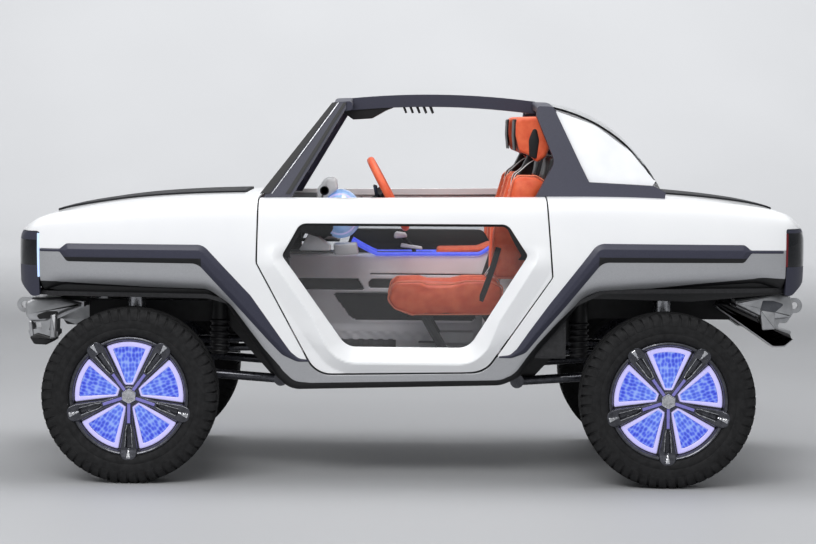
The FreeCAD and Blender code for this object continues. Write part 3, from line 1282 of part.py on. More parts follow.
def tyre_shape():
    half = size.tyre_width / 2
    tread = size.tyre_radius
    bead = size.rim_radius - size.rim_lip
    side = half - size.tyre_side_tuck
    flank = bead + size.tyre_flank
    shoulder = tread - size.tread_shoulder
    outer_half = [(bead, half - size.bead_inset, size.bead_round), (flank, half, size.tyre_bulge),
                  (shoulder, side, size.shoulder_round),
                  (tread, half - size.tread_shoulder, size.shoulder_round)]
    corners = [(r, -y, bend) for r, y, bend in outer_half] + list(reversed(outer_half))
    wire = rounded_wire(corners, lambda r, y: Vector(r, y, 0))
    return Part.Face(wire).revolve(Vector(0, 0, 0), Vector(0, 1, 0), 360)


root_shares = (0.55, 0.6, 0.62)
waist_shares = (1.1, 0.62)
tip_shares = (0.93, 0.5)
slot_tip_share = 0.9
slot_round_share = 0.6
slot_depth_share = 0.6


def spoke_shape():
    """One split spoke, pointing down: wide at the hub, slotted along its middle, bent back at the tip."""
    face = -size.tyre_width / 2 + size.rim_dish
    root, tip = size.spoke_root_width / 2, size.spoke_tip_width / 2
    reach = size.rim_radius
    hub = size.hub_radius
    right_half = [(root * root_shares[0], -hub * root_shares[1]), (root * root_shares[2], -hub),
                  (tip * waist_shares[0], -reach * waist_shares[1]), (tip, -reach * tip_shares[0]),
                  (tip * tip_shares[1], -reach)]
    corners = [(-x, z) for x, z in right_half] + list(reversed(right_half))
    blade = Part.Face(rounded_wire(corners, lambda x, z: Vector(x, face, z), size.spoke_round))
    blade = blade.extrude(Vector(0, size.spoke_depth, 0))
    slot_half = size.spoke_slot_width / 2
    slot_tip = reach * slot_tip_share
    slot_corners = [(-slot_half, -size.spoke_slot_start), (-slot_half, -slot_tip), (slot_half, -slot_tip),
                    (slot_half, -size.spoke_slot_start)]
    slot_round = slot_half * slot_round_share
    slot = Part.Face(rounded_wire(slot_corners, lambda x, z: Vector(x, face, z), slot_round))
    return blade.cut(slot.extrude(Vector(0, size.spoke_depth * slot_depth_share, 0)))


def rim_shape():
    half = size.tyre_width / 2
    lip = size.rim_radius - size.rim_lip
    wall = size.barrel_wall
    seat = lip - size.seat_gap
    front, back = size.bead_inset + size.tyre_side_tuck - half, half - size.bead_inset - size.lip_back
    profile = [
        (seat, front), (seat, front + size.lip_width - size.tyre_side_tuck),
        (size.barrel_radius + wall, size.lip_step - half),
        (size.barrel_radius + wall, half - size.barrel_back),
        (seat, back), (seat - wall, back), (size.barrel_radius, half - size.barrel_back - wall / 2),
        (size.barrel_radius, size.lip_step - half - wall / 4),
        (lip - wall * 2, front + size.lip_width - size.tyre_side_tuck * 3), (lip - wall * 2, front)]
    barrel = Part.Face(rounded_wire(profile, lambda r, y: Vector(r, y, 0))).revolve(
        Vector(0, 0, 0), Vector(0, 1, 0), 360)
    face = size.rim_dish - half
    hub = rod(Vector(0, face, 0), Vector(0, face + size.hub_depth, 0), size.hub_radius)
    plate_front = face + size.spoke_depth
    plate_radius = size.barrel_radius + wall / 2
    back_plate = rod(Vector(0, plate_front, 0), Vector(0, plate_front + wall, 0), plate_radius)
    cap_corners = [(size.cap_radius * math.sin(math.radians(turn)),
                    size.cap_radius * math.cos(math.radians(turn)), size.cap_round)
                   for turn in range(0, 360, 60)]
    cap = Part.Face(rounded_wire(cap_corners, lambda x, z: Vector(x, face - size.cap_height, z)))
    cap = cap.extrude(Vector(0, size.cap_height, 0))
    spoke = spoke_shape()
    spokes = []
    for turn in range(5):
        copy = spoke.copy()
        copy.rotate(Vector(0, 0, 0), Vector(0, 1, 0), turn * 72)
        spokes.append(copy)
    return joined([barrel, hub, back_plate, cap] + spokes)


def light_shape():
    """The lit panels between the spokes."""
    face = size.rim_dish + size.light_inset - size.tyre_width / 2
    start = Vector(0, face, 0)
    end = start + Vector(0, size.light_depth, 0)
    disc = rod(start, end, size.light_outer_radius).cut(rod(start, end, size.light_inner_radius))
    root = (size.spoke_root_width / 2 + size.light_root_gap) * root_shares[2]
    tip = (size.spoke_tip_width / 2 + size.light_tip_gap) * waist_shares[0]
    reach = size.light_outer_radius + size.overrun
    for turn in range(5):
        gap_corners = [(-root, 0), (-tip, -reach), (tip, -reach), (root, 0)]
        gap = Part.Face(rounded_wire(gap_corners, lambda x, z: Vector(x, face, z)))
        gap = gap.extrude(Vector(0, size.light_depth, 0))
        gap.rotate(Vector(0, 0, 0), Vector(0, 1, 0), turn * 72)
        disc = disc.cut(gap)
    return disc.Solids


def make_wheels():
    tyre = tyre_shape()
    rim = rim_shape()
    tyre = tyre.cut(rim)
    panels = Part.makeCompound([panel.cut(rim) for panel in light_shape()])
    for end, x in (("front", size.front_axle_x), ("rear", rear_axle_x)):
        for side, side_name in ((-1, "left"), (1, "right")):
            for kind, shape in (("tyre", tyre), ("rim", rim), ("wheel_lights", panels)):
                label = "%s_%s_%s" % (kind, end, side_name)
                piece = keep(label, shape if side < 0 else mirrored(shape))
                piece.Placement = Placement(Vector(x, side * wheel_y, axle_height), Rotation())


# Build order: skin first, then what is seated against it

make_skin()
make_end_panels()
make_hood_and_deck()
make_mouldings()
make_doors()
make_tub()
make_screen()
make_screen_glass()
make_hoop()
make_roof()
make_quarter_panels()
make_rear_window()
make_dashboard()
make_console()
make_seats()
make_seat_frames()
make_steering_wheel()
keep("ladder_frame", make_ladder_frame())
make_battery()
make_axles()
make_links()
make_struts()
make_springs()
make_knuckles()
make_bumpers()
make_wheels()
doc.recompute()
make_pod()
doc.recompute()

# Checks before anything is written

for piece in doc.Objects:
    if "Invalid" in piece.State or "Error" in piece.State:
        raise RuntimeError("failed feature: " + piece.Label)
for label, piece in parts.items():
    if piece.Shape.isNull() or not piece.Shape.isValid():
        raise RuntimeError("bad shape: " + label)

os.makedirs("parts", exist_ok=True)
for label, piece in parts.items():
    piece.Shape.exportStep("parts/%s.step" % label)
print("pieces", len(parts))
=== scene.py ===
import math

import bmesh
import bpy
import numpy as np
from mathutils import Matrix, Vector


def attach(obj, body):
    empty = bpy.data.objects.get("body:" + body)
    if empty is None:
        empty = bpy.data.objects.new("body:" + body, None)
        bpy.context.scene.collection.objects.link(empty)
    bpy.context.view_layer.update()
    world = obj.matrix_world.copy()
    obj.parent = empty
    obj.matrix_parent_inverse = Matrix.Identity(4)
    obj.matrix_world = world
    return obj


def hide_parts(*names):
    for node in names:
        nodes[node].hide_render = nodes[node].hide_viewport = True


# Dune buggy: a small open electric off-road two-seater with lit wheels.
# The vehicle's front is -X, its left side -Y, the ground Z = 0. Sizes in dictionaries are millimetres.

mm = 0.001
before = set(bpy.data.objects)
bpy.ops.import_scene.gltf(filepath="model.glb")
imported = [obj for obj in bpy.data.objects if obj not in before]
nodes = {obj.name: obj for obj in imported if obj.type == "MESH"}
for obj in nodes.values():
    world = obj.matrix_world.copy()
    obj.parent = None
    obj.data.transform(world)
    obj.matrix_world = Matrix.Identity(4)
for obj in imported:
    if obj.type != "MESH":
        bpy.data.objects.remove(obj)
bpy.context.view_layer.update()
print("frame loaded:", len(nodes), "nodes")


# Colours and materials

def linearColour(code):
    channels = []
    for place in (0, 2, 4):
        value = int(code[place:place + 2], 16) / 255
        channels.append(value / 12.92 if value <= 0.04045 else ((value + 0.055) / 1.055) ** 2.4)
    return (*channels, 1.0)


# Adds a node with its settings and links; a socket's hex colour and a ramp's stops are turned to linear here.
def addNode(tree, kind, settings=None, links=None):
    node = tree.nodes.new(kind)
    for key, value in (settings or {}).items():
        if key == "stops":
            elements = node.color_ramp.elements
            elements.remove(elements[1])
            elements[0].position = value[0][0]
            for position, code in value[1:]:
                elements.new(position).color = linearColour(code)
            elements[0].color = linearColour(value[0][1])
        elif isinstance(key, int) or key in node.inputs:
            node.inputs[key].default_value = linearColour(value) if isinstance(value, str) else value
        else:
            setattr(node, key, value)
    for key, socket in (links or {}).items():
        tree.links.new(socket, node.inputs[key])
    return node


def newMaterial(name, settings):
    made = bpy.data.materials.new(name)
    made.use_nodes = True
    tree = made.node_tree
    tree.nodes.clear()
    shader = addNode(tree, "ShaderNodeBsdfPrincipled", settings)
    addNode(tree, "ShaderNodeOutputMaterial", None, {"Surface": shader.outputs[0]})
    return made, tree, shader


def placeNode(tree):  # the piece's own coordinates, in metres
    return addNode(tree, "ShaderNodeTexCoord").outputs["Object"]


# Lets a socket wander between two colours or two values, over patches of the given size in mm.
def addPatches(tree, shader, socket, size, low, high, detail=3.0, span=(0.35, 0.65)):
    noise = addNode(tree, "ShaderNodeTexNoise", {"Scale": 1 / (size * mm), "Detail": detail},
                    {"Vector": placeNode(tree)})
    if isinstance(low, str):
        wander = addNode(tree, "ShaderNodeValToRGB", {"stops": ((span[0], low), (span[1], high))},
                         {"Fac": noise.outputs[0]})
    else:
        wander = addNode(tree, "ShaderNodeMapRange", {
            "From Min": span[0], "From Max": span[1], "To Min": low, "To Max": high}, {"Value": noise.outputs[0]})
    tree.links.new(wander.outputs[0], shader.inputs[socket])


# Fine reliefs: the texture, its settings, which of its outputs is the height, and how strongly it shows.
reliefs = {
    "grain": ("ShaderNodeTexNoise", {"Detail": 2.0}, 0, 1.0),
    "pebbles": ("ShaderNodeTexVoronoi", {}, 0, 0.6),
    "weave": ("ShaderNodeTexWave", {"bands_direction": "DIAGONAL"}, 1, 0.5),
}


def addRelief(tree, shader, relief, size, depth):
    kind, settings, output, strength = reliefs[relief]
    pattern = addNode(tree, kind, {"Scale": 1 / (size * mm), **settings}, {"Vector": placeNode(tree)})
    bump = addNode(tree, "ShaderNodeBump", {"Strength": strength, "Distance": depth * mm},
                   {"Height": pattern.outputs[output]})
    tree.links.new(bump.outputs[0], shader.inputs["Normal"])


even = (2.0, (0, 1))  # detail and span of the light that wanders over a lit piece

# Each finish: shader values; sockets that wander (patch size in mm, from, to); a relief (kind, size and depth in mm).
recipes = {
    # White two-coat paint, sprayed: a clean gloss with the faint waviness of clearcoat.
    "whitePaint": ({"Roughness": 0.34, "IOR": 1.5, "Coat Weight": 0.8, "Coat Roughness": 0.06, "Coat IOR": 1.5},
                   {"Base Color": (420, "F1F2F4", "F5F6F7")}, ("grain", 5.0, 0.008)),
    # Silver basecoat with fine aluminium flake under a satin clearcoat: soft grey that follows the form.
    "silverPaint": ({"Metallic": 0.6, "Roughness": 0.42, "IOR": 1.5, "Coat Weight": 0.3, "Coat Roughness": 0.12},
                    {"Base Color": (1.6, "A6A7AA", "B8B9BC", 1.0)}, ("grain", 1.8, 0.006)),
    # Moulded ABS painted slate blue-grey: a satin dark trim with a very fine grain.
    "slateAbs": ({"Roughness": 0.48, "IOR": 1.46, "Coat Weight": 0.1, "Coat Roughness": 0.3},
                 {"Base Color": (2.4, "2B2C3B", "353647", 2.0)}, ("grain", 1.6, 0.05)),
    # Moulded black ABS: near black and half matt, so that edges read as gaps and shadow.
    "blackAbs": ({"Roughness": 0.45, "IOR": 1.46}, {"Base Color": (6, "0E0E10", "141416")}, ("grain", 1.2, 0.03)),
    # Satin black ABS on the hood and deck centres: a dark panel that does not mirror the sky.
    "satinAbs": ({"Base Color": "17181C", "IOR": 1.46, "Specular IOR Level": 0.25}, {"Roughness": (80, 0.5, 0.6)}),
    # Tinted float glass: clear with a grey cast, and a lamp's reflection kept faint.
    "tintedGlass": ({"Base Color": "EDEEF0", "Roughness": 0.0, "IOR": 1.45, "Transmission Weight": 1.0,
                     "Specular IOR Level": 0.12}, {}, ("grain", 300, 0.05)),
    # Dark glass over the lamps: a near-black gloss that hides what lies behind it.
    "darkGlass": ({"Base Color": "1B1D22", "IOR": 1.5, "Transmission Weight": 0.35}, {"Roughness": (120, 0.02, 0.06)}),
    # Opal acrylic, cast: a milky white sheet with a soft gloss.
    "opalAcrylic": ({"Roughness": 0.22, "IOR": 1.49, "Subsurface Weight": 0.2, "Subsurface Radius": (0.01, 0.01, 0.01),
                     "Coat Weight": 0.4, "Coat Roughness": 0.08}, {"Base Color": (160, "ECEEF1", "F6F7F8")}),
    # Orange-red leather, embossed: a fine pebble grain and a soft sheen.
    "orangeLeather": ({"Roughness": 0.52, "IOR": 1.45, "Sheen Weight": 0.15, "Sheen Roughness": 0.5},
                      {"Base Color": (40, "DC5630", "EA6C42")}, ("pebbles", 3.2, 0.35)),
    # Painted plastic moulding inside the cab: a pale satin grey that shows its relief by shading.
    "greyMoulding": ({"Roughness": 0.4, "IOR": 1.46, "Coat Weight": 0.15}, {"Base Color": (90, "E2E2E4", "EAEAEC")},
                     ("grain", 2.0, 0.03)),
    # Moulded cab lining with a coarse grain: dark and matt.
    "darkLining": ({"Roughness": 0.7, "IOR": 1.45}, {"Base Color": (12, "1D1D1F", "29292B")}, ("grain", 2.5, 0.15)),
    # Powder-coated steel: black with a faint orange peel.
    "powderSteel": ({"Roughness": 0.5, "IOR": 1.5}, {"Base Color": (30, "121214", "1C1C1F")}, ("grain", 1.5, 0.06)),
    # Turned and polished steel on struts, pedals and beads: bright streaks of the room.
    "polishedSteel": ({"Metallic": 1.0}, {"Base Color": (25, "9C9DA1", "BFC0C4"), "Roughness": (15, 0.18, 0.32)}),
    # Sand-cast aluminium: a dull grey metal with blurred highlights.
    "castAluminium": ({"Metallic": 1.0}, {"Base Color": (60, "55575B", "6B6D72"), "Roughness": (8, 0.45, 0.6)}),
    # Satin anodised aluminium of the bumpers: pale metal with soft, uneven highlights.
    "satinAluminium": ({"Metallic": 0.9, "Coat Weight": 0.2, "Coat Roughness": 0.15},
                       {"Base Color": (70, "A8A9AB", "C3C4C6"), "Roughness": (6, 0.28, 0.42)}),
    # Carbon-black tyre rubber, moulded: flat, dark, slightly dusty.
    "tyreRubber": ({"IOR": 1.45, "Specular IOR Level": 0.3},
                   {"Base Color": (18, "161617", "202021"), "Roughness": (30, 0.72, 0.86)}),
    # Lacquered alloy in gunmetal, on spokes and suspension links: dark metal under a sharp gloss.
    "gunmetalAlloy": ({"Metallic": 0.75, "Coat Weight": 0.7, "Coat Roughness": 0.06},
                      {"Base Color": (20, "34353C", "484950"), "Roughness": (12, 0.25, 0.38)}),
    # Machined and lacquered alloy on the spoke tips and the hub cap: the brightest metal on the car.
    "machinedAlloy": ({"Metallic": 1.0}, {"Base Color": (10, "BDBEC2", "DADBDE"), "Roughness": (5, 0.2, 0.3)}),
    # Frosted acrylic light guide round each lit panel: an even lavender white.
    "lightGuide": ({"Base Color": "A8A2DC", "Roughness": 0.35, "IOR": 1.49, "Emission Strength": 0.42},
                   {"Emission Color": (60, "B9B4F0", "E2E0F8", *even)}),
    # Lacquer over the spoke's ridge, washed violet by the lit panels beside it.
    # Painted light on the spoke's ridge: a violet base colour and a faint glow stand in for the light the lit panels
    # beside it throw there, under a gloss lacquer.
    "violetSpillGlow": ({"Base Color": "6A66A8", "Roughness": 0.3, "IOR": 1.5, "Emission Strength": 0.16,
                       "Coat Weight": 0.5}, {"Emission Color": (25, "6C62D8", "B0A8F0", *even)}),
    # Clear acrylic over blue diodes, its back moulded in small diamonds (addFacets draws its light).
    "litAcrylic": ({"Base Color": "141C60", "Roughness": 0.3, "IOR": 1.49, "Emission Strength": 0.85}, {}),
    # Blue acrylic rod lit from inside: bright violet-blue along its whole length.
    "blueLight": ({"Base Color": "2636B0", "Roughness": 0.3, "IOR": 1.49, "Emission Strength": 0.9},
                  {"Emission Color": (30, "3A46E0", "6478F6", *even)}),
    # Pale blue polycarbonate globe, softly lit: milky, with a gloss skin.
    "blueGlobe": ({"Roughness": 0.15, "IOR": 1.58, "Emission Color": "7FA8E0", "Emission Strength": 0.35,
                   "Coat Weight": 0.6}, {"Base Color": (35, "86A9DA", "A9C6EC")}),
    # Twisted polyester piping and stitching, a shade lighter than the leather.
    "orangeThread": ({"Roughness": 0.7, "IOR": 1.5, "Sheen Weight": 0.3}, {"Base Color": (4, "E0704C", "F08A66", 1.0)}),
    # White woven polyester webbing, its ribs drawn about 7 mm apart, coarser than real ones, so that they show.
    "whiteWebbing": ({"Roughness": 0.75, "IOR": 1.5, "Sheen Weight": 0.3}, {"Base Color": (20, "E6E4E2", "F4F3F1")},
                     ("weave", 18.9, 0.4)),
    # Soft-touch moulding along the top of each door lining: rose grey and matt.
    "roseMoulding": ({"Roughness": 0.55, "IOR": 1.46}, {"Base Color": (40, "BDB2B2", "C8BFBF")}, ("grain", 2.0, 0.05)),
    # Edge-lit acrylic: an ice-blue line at the nose, a deep red one at the tail.
    "iceLight": ({"Base Color": "B4C8E6", "Roughness": 0.25, "IOR": 1.49, "Emission Strength": 0.6},
                 {"Emission Color": (40, "9CC2FF", "D2E6FF", *even)}),
    "redLight": ({"Base Color": "4A0E14", "Roughness": 0.25, "IOR": 1.49, "Emission Strength": 0.25},
                 {"Emission Color": (40, "7A1620", "9A1E2A", *even)}),
}
facet = {"width": 14.0, "height": 21.0, "hub": 60.0, "rim": 205.0, "wash": 0.3}


# Light behind the moulded diamonds: bright at the hub, dark between facets.
def addFacets(tree, shader):
    place = addNode(tree, "ShaderNodeUVMap", {"uv_map": "panelPlace"})
    stretch = addNode(tree, "ShaderNodeMapping", {
        "Scale": (1 / (facet["width"] * mm), 1 / (facet["height"] * mm), 1.0)}, {"Vector": place.outputs[0]})
    facets = addNode(tree, "ShaderNodeTexVoronoi", {"Scale": 1.0, "Randomness": 0.45}, {"Vector": stretch.outputs[0]})
    diamonds = addNode(tree, "ShaderNodeValToRGB", {
        "stops": ((0, "131C86"), (0.2, "2B3BCB"), (0.42, "5168F0"), (0.7, "A6C4FF"))},
        {"Fac": facets.outputs["Distance"]})
    split = addNode(tree, "ShaderNodeSeparateXYZ", None, {"Vector": place.outputs[0]})
    reach = addNode(tree, "ShaderNodeMapRange", {"From Min": facet["hub"] * mm, "From Max": facet["rim"] * mm},
                    {"Value": split.outputs["Y"]})
    wash = addNode(tree, "ShaderNodeValToRGB", {"stops": ((0, "8DB4FA"), (1, "4656DC"))}, {"Fac": reach.outputs[0]})
    blend = addNode(tree, "ShaderNodeMix", {"data_type": "RGBA", "Factor": facet["wash"]},
                    {6: diamonds.outputs[0], 7: wash.outputs[0]})
    tree.links.new(blend.outputs[2], shader.inputs["Emission Color"])


def makeMaterials():
    shelf = {}
    for name, (values, wandering, *relief) in recipes.items():
        shelf[name], tree, shader = newMaterial(name, values)
        for socket, patch in wandering.items():
            addPatches(tree, shader, socket, *patch)
        for one in relief:
            addRelief(tree, shader, *one)
        if name == "litAcrylic":
            addFacets(tree, shader)
    return shelf


paint = makeMaterials()
print("materials:", len(paint))


# Skin: the same control net as the solids, evaluated finely

net = {
    "noseX": -1672, "tailX": 1684, "halfWidth": 803, "floor": 380, "hood": 1172, "cowl": 1226, "deck": 1242,
    "deckRear": 1224, "drop": 22, "shoulder": 60, "noseCorner": 240, "tailCorner": 240, "noseTop": 1036,
    "tailTop": 1066, "endHalfWidth": 560, "flareTuck": 45, "sillTuck": 118, "strip": 985, "waist": 1095,
    "fascia": 900, "flare": 760, "sill": 560, "hemTuck": 85, "lipTuck": 10, "cockpitRise": 6,
    "deckFrontRise": 2, "deckRearFall": 10, "tailRise": 4, "waistTuck": 4, "waistFall": 30,
    "shoulderTuck": 12, "shoulderFall": 26, "shoulderLift": 6, "crownFall": 10,
}
endShares = ((0, 1, 1), (0.01, 0.84, 0.88), (0.08, 0.5, 0.74), (0.26, 0.24, 0.5), (0.56, 0.07, 0.24))
cowlShares = ((-0.8, 0.0), (-0.68, 0.56), (-0.45, 0.96), (-0.18, 1.0))


def netRows():
    narrowing = net["halfWidth"] - net["endHalfWidth"]
    rows = []
    for along, narrow, fall in endShares:
        rows.append((net["noseX"] + along * net["noseCorner"], net["halfWidth"] - narrow * narrowing,
                     net["hood"] - fall * (net["hood"] - net["noseTop"]), net["drop"] * (1 - along) * 0.6))
    for along, rise in cowlShares:
        rows.append((along * net["tailX"], net["halfWidth"], net["hood"] + rise * (net["cowl"] - net["hood"]),
                     net["drop"]))
    for along, crown in ((0.14, net["cowl"] + net["cockpitRise"]), (0.5, net["deck"] + net["deckFrontRise"]),
                         (0.7, net["deck"] - net["deckRearFall"])):
        rows.append((along * net["tailX"], net["halfWidth"], crown, net["drop"]))
    for along, narrow, fall in reversed(endShares):
        rows.append((net["tailX"] - along * net["tailCorner"], net["halfWidth"] - narrow * narrowing,
                     net["deckRear"] + net["tailRise"] - fall * (net["deckRear"] - net["tailTop"]),
                     net["drop"] * (1 - along) * 0.6))
    return rows


def halfSection(width, crown, drop):
    shoulder = crown - drop
    return [
        (width - net["sillTuck"], net["floor"]), (width - net["hemTuck"], net["sill"]),
        (width - net["flareTuck"], net["flare"]), (width - net["lipTuck"], net["fascia"]),
        (width, net["strip"]), (width - net["waistTuck"], min(net["waist"], shoulder - net["waistFall"])),
        (width - net["shoulderTuck"], shoulder - net["shoulderFall"]),
        (width - net["shoulder"] * 0.7, shoulder + net["shoulderLift"]),
        (width - net["shoulder"] * 3.6, crown - net["crownFall"]), (width * 0.34, crown), (0, crown)]


def netPoles():
    poles = []
    for x, width, crown, drop in netRows():
        half = halfSection(width, crown, drop)
        poles.append([(x, -y, z) for y, z in half] + [(x, y, z) for y, z in reversed(half[:-1])])
    return np.array(poles, float)


# Weights of each control point for a clamped uniform cubic spline.
def splineWeights(count, params):
    spans = count - 3
    knots = np.concatenate([np.zeros(3), np.arange(spans + 1.0), np.full(3, float(spans))])
    t = np.clip(np.asarray(params, float), 0, spans - 1e-9)[:, None]
    table = ((t >= knots[:-1]) & (t < knots[1:])).astype(float)
    for degree in (1, 2, 3):
        width = len(knots) - 1 - degree
        rise = knots[degree:degree + width] - knots[:width]
        fall = knots[degree + 1:degree + 1 + width] - knots[1:1 + width]
        riseShare = np.where(rise > 0, (t - knots[:width]) / np.where(rise > 0, rise, 1), 0)
        fallShare = np.where(fall > 0, (knots[degree + 1:degree + 1 + width] - t) / np.where(fall > 0, fall, 1), 0)
        table = riseShare * table[:, :width] + fallShare * table[:, 1:width + 1]
    return table


poles = netPoles()
rowCount, columnCount = poles.shape[:2]
midParam = (columnCount - 3) / 2


def skinPoints(rowParams, columnParams):
    rows = splineWeights(rowCount, rowParams)
    columns = splineWeights(columnCount, columnParams)
    return np.einsum("ai,ijk,bj->abk", rows, poles, columns)


def unit(vectors):
    return vectors / np.maximum(np.linalg.norm(vectors, axis=-1, keepdims=True), 1e-12)


def skinNormals(rowParams, columnParams):
    step = 1e-3
    alongBody = skinPoints(rowParams + step, columnParams) - skinPoints(rowParams - step, columnParams)
    aroundBody = skinPoints(rowParams, columnParams + step) - skinPoints(rowParams, columnParams - step)
    return unit(np.cross(alongBody, aroundBody))


rowTable = np.linspace(0, rowCount - 3, 4000)
rowTableX = splineWeights(rowCount, rowTable) @ poles[:, 0, 0]


def rowParamAt(x):
    return np.interp(x, rowTableX, rowTable)


# Faces of a grid of points, row by row; a wrapped grid joins its ends, a flipped one faces the other way.
def gridFaces(rows, columns, wrapRows=False, wrapColumns=False, flip=False):
    faces = []
    for i in range(rows if wrapRows else rows - 1):
        for j in range(columns if wrapColumns else columns - 1):
            n, k = (i + 1) % rows, (j + 1) % columns
            corners = (i * columns + j, n * columns + j, n * columns + k, i * columns + k)
            faces.append((corners[0], *corners[:0:-1]) if flip else corners)
    return faces


# A surface is points, unit normals and faces. This one is a patch of the skin between two X and two columns.
def skinPatch(xFrom, xTo, columnFrom, columnTo, cell):
    xs = np.linspace(xFrom, xTo, max(3, int((xTo - xFrom) / cell) + 1))
    fine = np.linspace(columnFrom, columnTo, 400)
    girth = skinPoints(rowParamAt(np.array([(xFrom + xTo) / 2])), fine)[0]
    lengths = np.concatenate([[0], np.cumsum(np.linalg.norm(np.diff(girth, axis=0), axis=1))])
    count = max(3, int(lengths[-1] / cell) + 1)
    columns = np.interp(np.linspace(0, lengths[-1], count), lengths, fine)
    rows = rowParamAt(xs)
    points = skinPoints(rows, columns).reshape(-1, 3)
    normals = skinNormals(rows, columns).reshape(-1, 3)
    return points, normals, gridFaces(len(rows), count)


# A flat sheet that faces -Y.
def flatSheet(xs, zs, y):
    points = np.array([(x, y, z) for x in xs for z in zs])
    return points, np.tile((0.0, -1.0, 0.0), (len(points), 1)), gridFaces(len(xs), len(zs))


# Outlines: corners (a, b, radius), sampled to a closed loop

def roundedLoop(corners, steps=8):
    loop = []
    count = len(corners)
    for index, corner in enumerate(corners):
        point = np.array(corner[:2], float)
        before = np.array(corners[index - 1][:2], float) - point
        after = np.array(corners[(index + 1) % count][:2], float) - point
        roundSize = corner[2] if len(corner) > 2 else 0
        beforeLength, afterLength = np.linalg.norm(before), np.linalg.norm(after)
        before, after = before / beforeLength, after / afterLength
        halfTurn = math.acos(max(-1, min(1, float(before @ after)))) / 2
        if roundSize <= 0 or abs(halfTurn - math.pi / 2) < 0.002:
            loop.append(point)
            continue
        cut = min(roundSize / math.tan(halfTurn), beforeLength * 0.45, afterLength * 0.45)
        bend = cut * math.tan(halfTurn)
        bisector = before + after
        bisector /= np.linalg.norm(bisector)
        centre = point + bisector * cut / math.cos(halfTurn)
        first, last = point + before * cut - centre, point + after * cut - centre
        start, end = math.atan2(first[1], first[0]), math.atan2(last[1], last[0])
        turn = (end - start + math.pi) % (2 * math.pi) - math.pi
        for step in range(steps + 1):
            angle = start + turn * step / steps
            loop.append(centre + bend * np.array([math.cos(angle), math.sin(angle)]))
    return np.array(loop)


# Distance to a closed loop, negative inside it.
def distanceTo(loop, flat):
    best = np.full(len(flat), 1e12)
    inside = np.zeros(len(flat), bool)
    for start, end in zip(loop, np.roll(loop, -1, axis=0)):
        edge = end - start
        length = float(edge @ edge)
        if length < 1e-9:
            continue
        offset = flat - start
        share = np.clip(offset @ edge / length, 0, 1)
        gap = offset - share[:, None] * edge
        best = np.minimum(best, (gap ** 2).sum(1))
        if start[1] != end[1]:
            crosses = (start[1] > flat[:, 1]) != (end[1] > flat[:, 1])
            inside ^= crosses & (flat[:, 0] < edge[0] * offset[:, 1] / edge[1] + start[0])
    return np.where(inside, -1, 1) * np.sqrt(best)


def sideView(points):
    return points[:, [0, 2]]


def topView(points):
    return points[:, [0, 1]]


# Keeps what lies where values are negative, with new points where an edge crosses zero.
def clipped(surface, values):
    points, normals, faces = surface
    inside = values <= 0
    cuts, newPoints, newNormals, kept = {}, [], [], []
    for face in faces:
        flags = [inside[index] for index in face]
        if all(flags):
            kept.append(face)
            continue
        if not any(flags):
            continue
        ring = []
        for place, index in enumerate(face):
            following = face[(place + 1) % len(face)]
            if inside[index]:
                ring.append(index)
            if inside[index] != inside[following]:
                key = (min(index, following), max(index, following))
                if key not in cuts:
                    share = values[index] / (values[index] - values[following])
                    cuts[key] = len(points) + len(newPoints)
                    newPoints.append(points[index] + (points[following] - points[index]) * share)
                    newNormals.append(normals[index] + (normals[following] - normals[index]) * share)
                ring.append(cuts[key])
        if len(ring) > 2:
            kept.append(tuple(ring))
    if newPoints:
        points = np.vstack([points, newPoints])
        normals = np.vstack([normals, unit(np.array(newNormals))])
    return tidied((points, normals, kept))


# Drops the points that no face uses.
def tidied(surface):
    points, normals, faces = surface
    used = np.zeros(len(points), bool)
    for face in faces:
        used[list(face)] = True
    number = np.cumsum(used) - 1
    return points[used], normals[used], [tuple(int(number[i]) for i in face) for face in faces]


def keepInside(surface, loop, flatten, margin=0.0):
    return clipped(surface, distanceTo(loop, flatten(surface[0])) + margin)


def keepOutside(surface, loop, flatten, margin=0.0):
    return clipped(surface, -distanceTo(loop, flatten(surface[0])) + margin)


def shifted(surface, distance):
    points, normals, faces = surface
    return points + normals * distance, normals, faces


# Presses the surface in by depthOf(points) millimetres and turns its normals to match.
def pressed(surface, depthOf, probe=4.0):
    points, normals, faces = surface
    helper = np.where(np.abs(normals[:, [2]]) < 0.8, [[0.0, 0.0, 1.0]], [[1.0, 0.0, 0.0]])
    firstWay = unit(np.cross(normals, helper))
    secondWay = np.cross(normals, firstWay)
    slopes = []
    for way in (firstWay, secondWay):
        slopes.append((depthOf(points + way * probe) - depthOf(points - way * probe)) / (2 * probe))
    turned = unit(normals + firstWay * slopes[0][:, None] + secondWay * slopes[1][:, None])
    return points - normals * depthOf(points)[:, None], turned, faces


